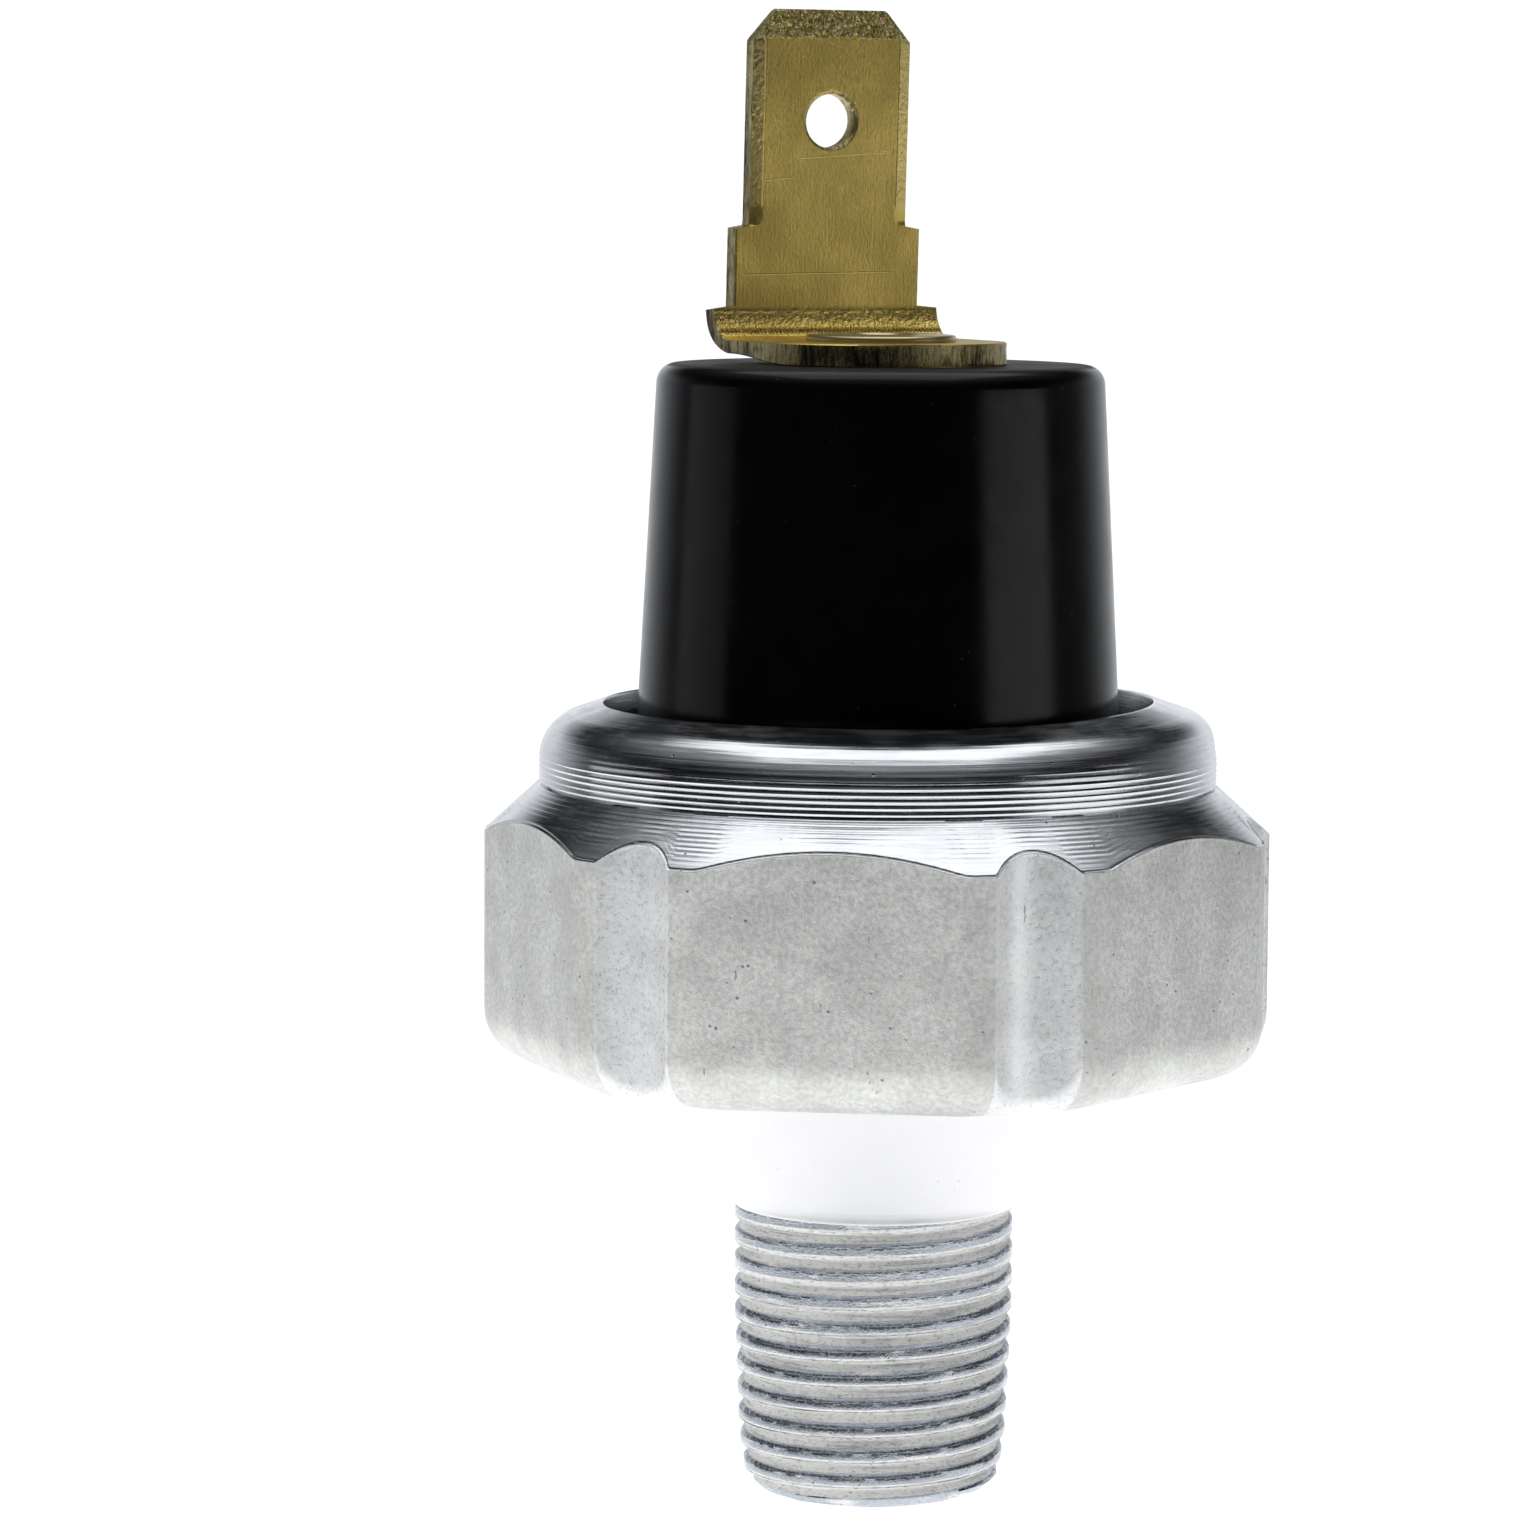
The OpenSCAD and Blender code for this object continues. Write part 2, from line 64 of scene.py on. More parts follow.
class Wire:
    """A shader socket that adds maths nodes when it is used in an expression."""

    def __init__(self, recipe: "Recipe", socket: bpy.types.NodeSocket) -> None:
        """Keeps the socket and the recipe that new nodes go into."""
        self.recipe = recipe
        self.socket = socket

    def _combine(self, operation: str, first: "Term", second: "Term") -> "Wire":
        """Adds the node of one operation on two terms.

        Args:
            operation: The name of the operation, as the Math nodes spell it.
            first: The first term, a wire, a number or a tuple.
            second: The second term.

        Returns:
            The wire that holds the result.
        """
        kinds = {term.socket.type for term in (first, second) if isinstance(term, Wire)}
        if "RGBA" in kinds:
            settings = {"data_type": "RGBA", "blend_type": operation}
            colours = {"Factor": 1.0, 6: _as_colour(first), 7: _as_colour(second)}
            return self.recipe.node("ShaderNodeMix", settings, colours, 2)
        if "VECTOR" in kinds:
            vectors = {0: _as_vector(first), 1: _as_vector(second)}
            return self.recipe.node("ShaderNodeVectorMath", {"operation": operation}, vectors)
        return self.recipe.node("ShaderNodeMath", {"operation": operation}, {0: first, 1: second})

    def __add__(self, other: "Term") -> "Wire":
        """Sum of two terms."""
        return self._combine("ADD", self, other)

    def __radd__(self, other: "Term") -> "Wire":
        """Sum with this wire on the right."""
        return self._combine("ADD", other, self)

    def __sub__(self, other: "Term") -> "Wire":
        """Difference of two terms."""
        return self._combine("SUBTRACT", self, other)

    def __rsub__(self, other: "Term") -> "Wire":
        """Difference with this wire on the right, as in 1 - mask."""
        return self._combine("SUBTRACT", other, self)

    def __mul__(self, other: "Term") -> "Wire":
        """Product of two terms."""
        return self._combine("MULTIPLY", self, other)

    def __rmul__(self, other: "Term") -> "Wire":
        """Product with this wire on the right."""
        return self._combine("MULTIPLY", other, self)

    def part(self, axis: str) -> "Wire":
        """One component, X, Y or Z, of a vector."""
        return self.recipe.node("ShaderNodeSeparateXYZ", inputs={0: self}, output=axis)

    def size(self) -> "Wire":
        """Absolute value of a number."""
        return self.recipe.node("ShaderNodeMath", {"operation": "ABSOLUTE"}, {0: self})

    def sine(self) -> "Wire":
        """Sine of a number."""
        return self.recipe.node("ShaderNodeMath", {"operation": "SINE"}, {0: self})

    def dot(self, other: "Term") -> "Wire":
        """Dot product with another vector."""
        vectors = {0: self, 1: other}
        return self.recipe.node("ShaderNodeVectorMath", {"operation": "DOT_PRODUCT"}, vectors, 1)

    def step(self, low: float, high: float, start: float = 0.0, end: float = 1.0) -> "Wire":
        """Smooth change from start to end as this value goes from low to high.

        Args:
            low: Value at which the change begins.
            high: Value at which it is complete. It may be below low.
            start: Result before low.
            end: Result past high.

        Returns:
            The wire that holds the result.
        """
        if low > high:
            low, high, start, end = high, low, end, start
        values = {"Value": self, "From Min": low, "From Max": high, "To Min": start, "To Max": end}
        return self.recipe.node("ShaderNodeMapRange", {"interpolation_type": "SMOOTHSTEP"}, values)


Term = Wire | float | tuple


def _as_colour(term: Term) -> Term:
    """A number or an RGB tuple as the four values of a colour socket."""
    if isinstance(term, Wire):
        return term
    if isinstance(term, tuple):
        return (*term[:3], 1.0)
    return (term, term, term, 1.0)


def _as_vector(term: Term) -> Term:
    """A number as a vector with three equal components."""
    return term if isinstance(term, (Wire, tuple)) else (term, term, term)


class Recipe:
    """The node tree of one material or of the world."""

    def __init__(self, tree: bpy.types.NodeTree) -> None:
        """Starts from the tree that Blender makes by itself."""
        self.tree = tree

    def node(
        self,
        kind: str,
        settings: dict[str, object] | None = None,
        inputs: dict[int | str, Term] | None = None,
        output: int | str = 0,
    ) -> Wire:
        """Adds any node.

        Args:
            kind: The node's type name.
            settings: Its properties, which are set first.
            inputs: Values or wires for its input sockets, by name or by number.
            output: The output socket to return.

        Returns:
            The wire of that output.
        """
        node = self.tree.nodes.new(kind)
        for name, value in (settings or {}).items():
            setattr(node, name, value)
        for key, value in (inputs or {}).items():
            if isinstance(value, Wire):
                self.tree.links.new(value.socket, node.inputs[key])
            else:
                node.inputs[key].default_value = value
        return Wire(self, node.outputs[output])

    def place(self) -> Wire:
        """The shaded point in the object's own frame, in millimetres."""
        point = self.node("ShaderNodeTexCoord", output="Object")
        scale = {0: point, "Scale": 1.0 / MM}
        return self.node("ShaderNodeVectorMath", {"operation": "SCALE"}, scale)

    def noise(self, vector: Wire, scale: float, detail: float = 3.0, rough: float = 0.55) -> Wire:
        """Smooth noise between 0 and 1.

        Args:
            vector: The place that is looked up, in millimetres.
            scale: Features per millimetre.
            detail: Number of octaves.
            rough: Weight of the finer octaves.

        Returns:
            The wire of the noise value.
        """
        values = {"Vector": vector, "Scale": scale, "Detail": detail, "Roughness": rough}
        return self.node("ShaderNodeTexNoise", inputs=values)

    def cells(self, vector: Wire, scale: float) -> Wire:
        """Distance to the nearest of a field of scattered points."""
        values = {"Vector": vector, "Scale": scale}
        return self.node("ShaderNodeTexVoronoi", inputs=values, output="Distance")

    def blend(self, factor: Term, first: Term, second: Term) -> Wire:
        """Colour that goes from first to second as factor goes from 0 to 1."""
        values = {"Factor": factor, 6: _as_colour(first), 7: _as_colour(second)}
        return self.node("ShaderNodeMix", {"data_type": "RGBA"}, values, 2)

    def bump(self, height: Wire, depth_mm: float) -> Wire:
        """Normal of a surface raised by height times depth_mm."""
        values = {"Height": height, "Distance": depth_mm * MM, "Strength": 1.0}
        return self.node("ShaderNodeBump", inputs=values)

    def scratch(self, place: Wire, start: tuple, end: tuple, width: float) -> Wire:
        """Mask of a straight scratch on a face that looks along Y.

        Args:
            place: The shaded point in millimetres.
            start: X and Z of one end.
            end: X and Z of the other end.
            width: Width of the scratch.

        Returns:
            The wire of a mask that is 1 on the scratch.
        """
        along = Vector((end[0] - start[0], 0.0, end[1] - start[1]))
        length = along.length
        along.normalize()
        offset = place * (1.0, 0.0, 1.0) - (start[0], 0.0, start[1])
        run = offset.dot(tuple(along))
        side = offset.dot((along.z, 0.0, -along.x)).size()
        inside = run.step(-width, width) * run.step(length + width, length - width)
        return side.step(width, width * 0.3) * inside


# ---------------------------------------------------------------- finishes


@dataclass(frozen=True)
class Finish:
    """A finish that becomes one material. A subclass says how its surface varies."""

    name: str = "finish"
    colour: Colour = (0.5, 0.5, 0.5)
    roughness: float = 0.4
    metallic: float = 1.0

    def material(self) -> bpy.types.Material:
        """Returns the material of this finish, made once."""
        known = bpy.data.materials.get(self.name)
        if known is not None:
            return known
        made = bpy.data.materials.new(self.name)
        made.use_nodes = True
        made.diffuse_color = (*self.colour, 1.0)
        recipe = Recipe(made.node_tree)
        shader = made.node_tree.nodes["Principled BSDF"]
        shader.inputs["Metallic"].default_value = self.metallic
        self.constants(shader)
        for socket, wire in self.surface(recipe).items():
            made.node_tree.links.new(wire.socket, shader.inputs[socket])
        return made

    def polish(self, level: Wire, below: float, above: float) -> Wire:
        """Roughness that goes from below the finish's own to above it as level rises."""
        return level.step(0.3, 0.7, self.roughness - below, self.roughness + above)

    def constants(self, shader: bpy.types.Node) -> None:
        """Sets values that are the same all over the surface."""

    def surface(self, recipe: Recipe) -> dict[str, Wire]:
        """Fine mottling, which plain finishes share.

        Args:
            recipe: The tree to add nodes to.

        Returns:
            The wires for the shader's sockets, by socket name.
        """
        place = recipe.place()
        grain = recipe.noise(place, 6.0)
        return {
            "Base Color": recipe.blend(grain, _scaled(self.colour, 0.86), self.colour),
            "Roughness": self.polish(grain, 0.06, 0.06),
            "Normal": recipe.bump(grain, 0.004),
        }


def _scaled(colour: Colour, factor: float) -> Colour:
    """A colour made lighter or darker."""
    return tuple(min(1.0, value * factor) for value in colour)


@dataclass(frozen=True)
class TumbledSteel(Finish):
    """Plated forging with a tumbled matte skin, small pits and upright nicks."""

    name: str = "tumbled_steel"
    colour: Colour = (0.83, 0.84, 0.82)
    roughness: float = 0.46
    metallic: float = 0.5
    pit_colour: Colour = (0.20, 0.21, 0.21)
    grit: float = 1.0
    pitting: float = 1.0

    def surface(self, recipe: Recipe) -> dict[str, Wire]:
        """Blotches, a fine skin, scattered pits and nicks that run up the flats."""
        place = recipe.place()
        blotch = recipe.noise(place, 0.45, 4.0)
        skin = recipe.noise(place, 5.5, 5.0, 0.65)
        grit = recipe.noise(place, 22.0, 2.0)
        worn = recipe.noise(place + (3.0, 1.0, 8.0), 0.8, 2.0)
        pit = recipe.cells(place, 2.1).step(0.16, 0.06) * worn.step(0.50, 0.62) * self.pitting
        drawn = place * (5.0, 5.0, 0.9)
        nick = recipe.noise(drawn, 1.0, 3.0, 0.6).step(0.69, 0.76) * worn.step(0.42, 0.60)
        mark = pit + nick * 0.8
        tone = recipe.blend(blotch.step(0.35, 0.65), _scaled(self.colour, 0.84), self.colour)
        low = 1.0 - 0.22 * self.grit
        tone = tone * recipe.blend(skin.step(0.30, 0.68), low, 1.06)
        tone = recipe.blend(mark.step(0.0, 1.0, 0.0, 0.75), tone, self.pit_colour)
        relief = skin * 0.6 + grit * 0.25 - mark * 1.2
        return {
            "Base Color": tone,
            "Roughness": self.polish(skin, 0.08, 0.10),
            "Normal": recipe.bump(relief, 0.034 * self.grit),
        }


@dataclass(frozen=True)
class TurnedPlating(Finish):
    """Bright zinc over a turned surface, with fine rings and burnished streaks."""

    name: str = "turned_plating"
    colour: Colour = (0.80, 0.82, 0.85)
    roughness: float = 0.14

    def surface(self, recipe: Recipe) -> dict[str, Wire]:
        """Rings that go right round, cut by short streaks and a few specks."""
        place = recipe.place()
        ring = recipe.noise(place * (0.06, 0.06, 26.0), 1.0, 3.0, 0.6)
        streak = recipe.noise(place * (0.5, 0.5, 9.0), 1.0, 4.0, 0.6)
        cloud = recipe.noise(place, 0.5, 3.0)
        speck = recipe.cells(place, 1.6).step(0.10, 0.04) * cloud.step(0.5, 0.6)
        tone = recipe.blend(streak.step(0.35, 0.65), _scaled(self.colour, 0.84), self.colour)
        tone = recipe.blend(speck, tone, _scaled(self.colour, 0.4))
        level = streak * 0.5 + cloud * 0.5
        return {
            "Base Color": tone,
            "Roughness": level.step(0.35, 0.65, self.roughness - 0.05, self.roughness + 0.12),
            "Normal": recipe.bump(ring * 0.7 + streak * 0.3 - speck, 0.010),
        }


@dataclass(frozen=True)
class SatinPlating(Finish):
    """Even bright zinc of the neck."""

    name: str = "satin_plating"
    colour: Colour = (0.81, 0.81, 0.82)
    roughness: float = 0.34

    def surface(self, recipe: Recipe) -> dict[str, Wire]:
        """Soft clouds with a few tiny specks."""
        place = recipe.place()
        cloud = recipe.noise(place, 0.7, 3.0)
        ring = recipe.noise(place * (0.1, 0.1, 8.0), 1.0, 3.0)
        speck = recipe.cells(place, 1.1).step(0.05, 0.02)
        tone = recipe.blend(cloud.step(0.3, 0.7), _scaled(self.colour, 0.97), self.colour)
        return {
            "Base Color": recipe.blend(speck, tone, _scaled(self.colour, 0.55)),
            "Roughness": self.polish(cloud, 0.05, 0.05),
            "Normal": recipe.bump(ring * 0.6 + cloud * 0.4, 0.006),
        }


@dataclass(frozen=True)
class RolledCrest(Finish):
    """Blue-grey plating on the crests of the rolled thread; its darkness is painted shade."""

    name: str = "thread_crest_plating"
    # Painted shade: the crest colour is kept dark for the dark reflections that the crests catch.
    colour: Colour = (0.50, 0.54, 0.60)
    roughness: float = 0.20
    metallic: float = 1.0
    pit_colour: Colour = (0.16, 0.17, 0.18)

    def surface(self, recipe: Recipe) -> dict[str, Wire]:
        """Cloudy lengths along the helix, with pits and pale rubbed places."""
        place = recipe.place()
        run = recipe.noise(place * (0.5, 0.5, 2.0), 1.0, 4.0, 0.6)
        grain = recipe.noise(place * (1.0, 1.0, 2.5), 7.0, 4.0, 0.65)
        pit = recipe.cells(place, 2.6).step(0.15, 0.06) * run.step(0.48, 0.56)
        tone = recipe.blend(run.step(0.52, 0.72), self.colour, (0.84, 0.85, 0.86))
        tone = tone * recipe.blend(grain.step(0.3, 0.7), 0.70, 1.05)
        tone = recipe.blend(pit * 0.8, tone, self.pit_colour)
        return {
            "Base Color": tone,
            "Roughness": self.polish(grain, 0.06, 0.12),
            "Normal": recipe.bump(grain - pit, 0.018),
        }


@dataclass(frozen=True)
class TornFlank(Finish):
    """Torn metal between the thread's crests, made near-white as a painted highlight."""

    name: str = "thread_flank_plating"
    # Painted highlight: near-white stands in for the bright floor that the flanks reflect.
    colour: Colour = (0.98, 0.98, 0.97)
    roughness: float = 0.36
    metallic: float = 0.45
    shade: float = 0.46

    def surface(self, recipe: Recipe) -> dict[str, Wire]:
        """Flaky grain drawn out along the helix."""
        place = recipe.place()
        flake = recipe.noise(place * (1.0, 1.0, 3.0), 5.0, 5.0, 0.7)
        fold = recipe.noise(place * (0.25, 0.25, 10.0), 1.0, 4.0, 0.6)
        tone = recipe.blend(flake.step(0.32, 0.50), self.shade, self.colour)
        return {
            "Base Color": tone * recipe.blend(fold.step(0.3, 0.5), 0.6, 1.0),
            "Roughness": self.polish(flake, 0.08, 0.15),
            "Normal": recipe.bump(flake * 0.7 + fold * 0.3, 0.045),
        }


@dataclass(frozen=True)
class GlossMoulding(Finish):
    """Glossy black thermoset, duller and dusty on its flat top."""

    name: str = "gloss_moulding"
    colour: Colour = (0.0012, 0.0012, 0.0018)
    roughness: float = 0.19
    metallic: float = 0.0
    top_z: float = 40.9
    sheen: float = 0.24
    dust_colour: Colour = (0.035, 0.036, 0.040)

    def constants(self, shader: bpy.types.Node) -> None:
        """Sets how strongly the black skin mirrors."""
        shader.inputs["Specular IOR Level"].default_value = self.sheen

    def surface(self, recipe: Recipe) -> dict[str, Wire]:
        """Faint dust on the side, and a matte skin with grains on the top."""
        place = recipe.place()
        grain = recipe.noise(place, 9.0, 4.0, 0.6)
        cloud = recipe.noise(place, 0.6, 2.0)
        top = place.part("Z").step(self.top_z - 0.12, self.top_z - 0.01)
        mote = recipe.cells(place, 2.3).step(0.09, 0.03) * cloud.step(0.50, 0.62)
        dust = mote * 0.8 + top * grain.step(0.35, 0.75)
        level = top * 0.28 + self.polish(cloud, 0.03, 0.04)
        return {
            "Base Color": recipe.blend(dust, self.colour, self.dust_colour),
            "Roughness": level,
            "Normal": recipe.bump(grain * (0.25 + top) + mote, 0.006),
        }


@dataclass(frozen=True)
class SheetBrass(Finish):
    """Rolled brass sheet with a fine grain, specks and handling scratches."""

    name: str = "sheet_brass"
    colour: Colour = (1.0, 0.76, 0.22)
    roughness: float = 0.38
    dark: Colour = (0.44, 0.33, 0.09)
    bright: Colour = (1.0, 0.87, 0.44)
    top_z: float = 53.57
    lead_h: float = 0.94
    shoulder_z: float = 46.5
    step_z: float = 42.65
    bead_z: float = 42.0
    bead_y: float = 4.5
    bead_rate: float = 42.0
    foot_z: float = 41.7
    coin_x: float = 2.66

    def surface(self, recipe: Recipe) -> dict[str, Wire]:
        """Grain, darker clouds, bright specks, long scratches, and painted highlights and shade."""
        place = recipe.place()
        grain = recipe.noise(place * (1.0, 1.0, 0.5), 11.0, 4.0, 0.65)
        cloud = recipe.noise(place, 0.5, 3.0)
        speck = recipe.cells(place, 2.9).step(0.15, 0.05) * cloud.step(0.42, 0.56)
        drawn = recipe.noise(place * (14.0, 14.0, 0.5), 1.0, 3.0)
        marks = (
            recipe.scratch(place, (-1.3, 48.2), (2.5, 48.45), 0.035)
            + recipe.scratch(place, (-2.6, 47.4), (-1.6, 47.5), 0.030)
            + recipe.scratch(place, (-3.4, 44.0), (2.6, 44.1), 0.030)
            + recipe.scratch(place, (-2.5, 51.0), (-2.0, 52.2), 0.040)
            + recipe.scratch(place, (-1.2, 52.6), (0.4, 52.2), 0.025)
        )
        up = place.part("Z")
        ragged = up + grain * 0.25
        lead = ragged.step(self.top_z - self.lead_h - 0.04, self.top_z - self.lead_h + 0.04)
        bend = up.step(self.step_z + 0.10, self.step_z - 0.10)
        bend = bend * up.step(self.foot_z + 0.08, self.foot_z + 0.16)
        streak = recipe.noise(place * (2.2, 2.2, 1.0), 3.2, 3.0, 0.6)
        coined = place.part("X").size().step(self.coin_x, self.coin_x + 0.06)
        coined = coined * up.step(self.shoulder_z - 0.2, self.shoulder_z + 0.2)
        peel = recipe.noise(place, 5.5, 3.0, 0.6)
        row = (up - self.bead_z).size().step(0.11, 0.05)
        row = row * place.part("Y").step(self.bead_y + 0.10, self.bead_y - 0.05)
        wave = (place.part("X") * self.bead_rate + grain * 2.0).sine()
        # Painted light on the tool-mark row: bead tops are painted highlight, the gaps between them
        # painted shade.
        bead = row * wave.step(-0.5, 0.7)
        painted_gap_shade = row * wave.step(-0.1, -0.9)
        rough = lead + bend * 0.6
        tone = recipe.blend(cloud.step(0.35, 0.65), _scaled(self.colour, 0.78), self.colour)
        # Painted shade: the blade is darkened over its top few millimetres, where it catches less light.
        painted_tip_shade = up.step(self.top_z - 6.0, self.top_z - 0.8) * 0.50
        tone = recipe.blend(grain.step(0.62, 0.30) * 0.50 + painted_tip_shade, tone, self.dark)
        # Painted highlight: streaks on the lead-in band are blended towards bright for the light on its
        # bevel; their relief is real.
        tone = recipe.blend(coined * 0.35 + lead * streak.step(0.42, 0.62), tone, self.bright)
        # Specks and scratches are brighter metal; the beads' share here is painted highlight.
        tone = recipe.blend(speck * 0.7 + marks * 0.5 + bead * 0.8, tone, self.bright)
        # Painted shade in the gaps between the beads.
        tone = recipe.blend(painted_gap_shade * 0.8, tone, _scaled(self.dark, 0.4))
        flat = grain * 0.5 + drawn * 0.2 + speck * 0.3 - marks * 0.9
        relief = flat + lead * streak * 9.0 + bend * peel * 3.5 + coined * peel * 2.0 + bead * 5.0
        return {
            "Base Color": tone,
            "Roughness": self.polish(grain, 0.07, 0.10) - rough * 0.12,
            "Normal": recipe.bump(relief, 0.021),
        }


@dataclass(frozen=True)
class ShearedBrass(Finish):
    """Sheared edge of the brass sheet, with striations across its thickness."""

    name: str = "sheared_brass"
    colour: Colour = (0.86, 0.72, 0.36)
    roughness: float = 0.34
    dark: Colour = (0.08, 0.065, 0.03)

    def surface(self, recipe: Recipe) -> dict[str, Wire]:
        """Striations that differ from place to place along the edge."""
        place = recipe.place()
        stria = recipe.noise(place * (3.2, 3.2, 0.6), 2.2, 4.0, 0.7)
        patch = recipe.noise(place * (1.0, 1.0, 0.2), 0.8, 2.0)
        torn = recipe.noise(place, 9.0, 4.0, 0.7)
        tone = recipe.blend((stria * 0.7 + patch * 0.5).step(0.46, 0.70), self.dark, self.colour)
        return {
            "Base Color": tone * recipe.blend(torn.step(0.3, 0.6), 0.6, 1.0),
            "Roughness": self.polish(torn, 0.06, 0.16),
            "Normal": recipe.bump(stria * 0.7 + torn * 0.3, 0.05),
        }


@dataclass(frozen=True)
class SoftRubber(Finish):
    """Matte rubber with a bloom."""

    name: str = "soft_rubber"
    colour: Colour = (0.018, 0.018, 0.020)
    roughness: float = 0.62
    metallic: float = 0.0


@dataclass(frozen=True)
class WovenFibre(Finish):
    """Pressed fibre sheet with short crossed fibres."""

    name: str = "pressed_fibre"
    colour: Colour = (0.10, 0.13, 0.10)
    roughness: float = 0.75
    metallic: float = 0.0

    def surface(self, recipe: Recipe) -> dict[str, Wire]:
        """Two sets of drawn-out fibres over a mottled sheet."""
        place = recipe.place()
        one = recipe.noise(place * (12.0, 1.5, 6.0), 1.0, 3.0)
        two = recipe.noise(place * (1.5, 12.0, 6.0), 1.0, 3.0)
        fibre = one * 0.5 + two * 0.5
        return {
            "Base Color": recipe.blend(fibre.step(0.4, 0.6), _scaled(self.colour, 0.6), self.colour),
            "Roughness": self.polish(fibre, 0.08, 0.08),
            "Normal": recipe.bump(fibre, 0.02),
        }


@dataclass(frozen=True)
class AmberFilm(Finish):
    """Thin amber film of the diaphragm plies."""

    name: str = "amber_film"
    colour: Colour = (0.42, 0.17, 0.025)
    roughness: float = 0.18
    metallic: float = 0.0

    def constants(self, shader: bpy.types.Node) -> None:
        """Gives the film its clear skin."""
        shader.inputs["Coat Roughness"].default_value = 0.08
        shader.inputs["Coat Weight"].default_value = 0.4


class Stock(Enum):
    """The finishes of the pieces inside, by what they are made of."""

    PLATE = Finish("plated_sheet", (0.62, 0.64, 0.66), 0.30)
    SPRING = TurnedPlating("spring_wire", (0.42, 0.45, 0.50), 0.26)
    SILVER = Finish("contact_silver", (0.86, 0.86, 0.84), 0.24)
    CONTACT = Finish("contact_brass", (0.74, 0.56, 0.24), 0.28)
    SCREW = TurnedPlating("screw_brass", (0.70, 0.54, 0.24), 0.28)
    PIN = Finish("laminate_pin", (0.22, 0.10, 0.04), 0.55, 0.0)
    FILM = AmberFilm()
    RUBBER = SoftRubber()
    FIBRE = WovenFibre()


# ---------------------------------------------------------------- mesh building


def smooth_min(first: np.ndarray, second: Spread, width: float) -> np.ndarray:
    """Smaller of two values, rounded off where they are within width of each other."""
    near = np.maximum(width - np.abs(first - second), 0.0) / width
    return np.minimum(first, second) - near * near * width / 4


def ease(value: Spread, low: float, high: float) -> Spread:
    """Smooth step from 0 at low to 1 at high."""
    share = np.clip((value - low) / (high - low), 0.0, 1.0)
    return share * share * (3 - 2 * share)


def arc(centre: Point, radius: float, start: float, end: float, count: int) -> Profile:
    """Points of a circular arc.

    Args:
        centre: Its centre, as radius and height.
        radius: Its radius.
        start: Angle of the first point, in degrees from the outward direction.
        end: Angle of the last point.
        count: Number of steps.

    Returns:
        The points, both ends included.
    """
    turns = [math.radians(start + (end - start) * i / count) for i in range(count + 1)]
    return [(centre[0] + radius * math.cos(t), centre[1] + radius * math.sin(t)) for t in turns]


def grain(*place: float) -> float:
    """Fixed noise between -1 and 1 at a place."""
    return noise.noise(Vector(place))


class Shell:
    """A mesh under construction, in millimetres."""

    def __init__(self) -> None:
        """Starts empty."""
        self.points: list[tuple[float, float, float]] = []
        self.faces: list[tuple[int, ...]] = []
        self.slots: list[int] = []

    def add(self, points: Iterable[tuple[float, float, float]]) -> list[int]:
        """Adds points and returns their numbers."""
        first = len(self.points)
        self.points.extend(points)
        return list(range(first, len(self.points)))

    def ring(self, angles: np.ndarray, radius: Spread, height: Spread) -> list[int]:
        """Adds one ring of points round the axis.

        Args:
            angles: Angle of each point, in radians.
            radius: One radius, or one for each point.
            height: One height, or one for each point.

        Returns:
            The numbers of the points.
        """
        spread = np.ones_like(angles)
        rows = zip(radius * np.cos(angles), radius * np.sin(angles), height * spread)
        return self.add((float(x), float(y), float(z)) for x, y, z in rows)

    def face(self, corners: Sequence[int], slot: int) -> None:
        """Adds one face, unless it has fewer than three corners."""
        kept = tuple(dict.fromkeys(corners))
        if len(kept) > 2:
            self.faces.append(kept)
            self.slots.append(slot)

    def band(self, low: Sequence[int], high: Sequence[int], slots: int | Sequence[int]) -> None:
        """Joins two closed rings of the same number of points.

        Args:
            low: Point numbers of one ring.
            high: Point numbers of the other.
            slots: The material slot, or one for each face.
        """
        count = len(low)
        for i in range(count):
            j = (i + 1) % count
            self.face((low[i], low[j], high[j], high[i]), slots if isinstance(slots, int) else slots[i])

    def turned(self, section: Profile, columns: int, slot: Callable[[Point], int]) -> None:
        """Adds a closed turned solid.

        Args:
            section: Its closed half-section, as radii and heights.
            columns: Number of points round the axis.
            slot: Gives the material slot of the band that starts at a point.
        """
        angles = np.linspace(0.0, 2 * math.pi, columns, endpoint=False)
        rings = [self.ring(angles, radius, height) for radius, height in section]
        for i, start in enumerate(section):
            self.band(rings[i], rings[(i + 1) % len(rings)], slot(start))

    def finish(self, name: str, finishes: Sequence[Finish], sharp: float = 35.0) -> bpy.types.Object:
        """Makes the object.

        Args:
            name: Its name.
            finishes: The finish of each material slot, in order.
            sharp: Angle above which an edge stays sharp, in degrees.

        Returns:
            The new object, at the origin.
        """
        mesh = bpy.data.meshes.new(name)
        mesh.from_pydata(self.points, [], self.faces)
        mesh.polygons.foreach_set("material_index", self.slots)
        for finish in finishes:
            mesh.materials.append(finish.material())
        return settle(bpy.data.objects.new(name, mesh), sharp)


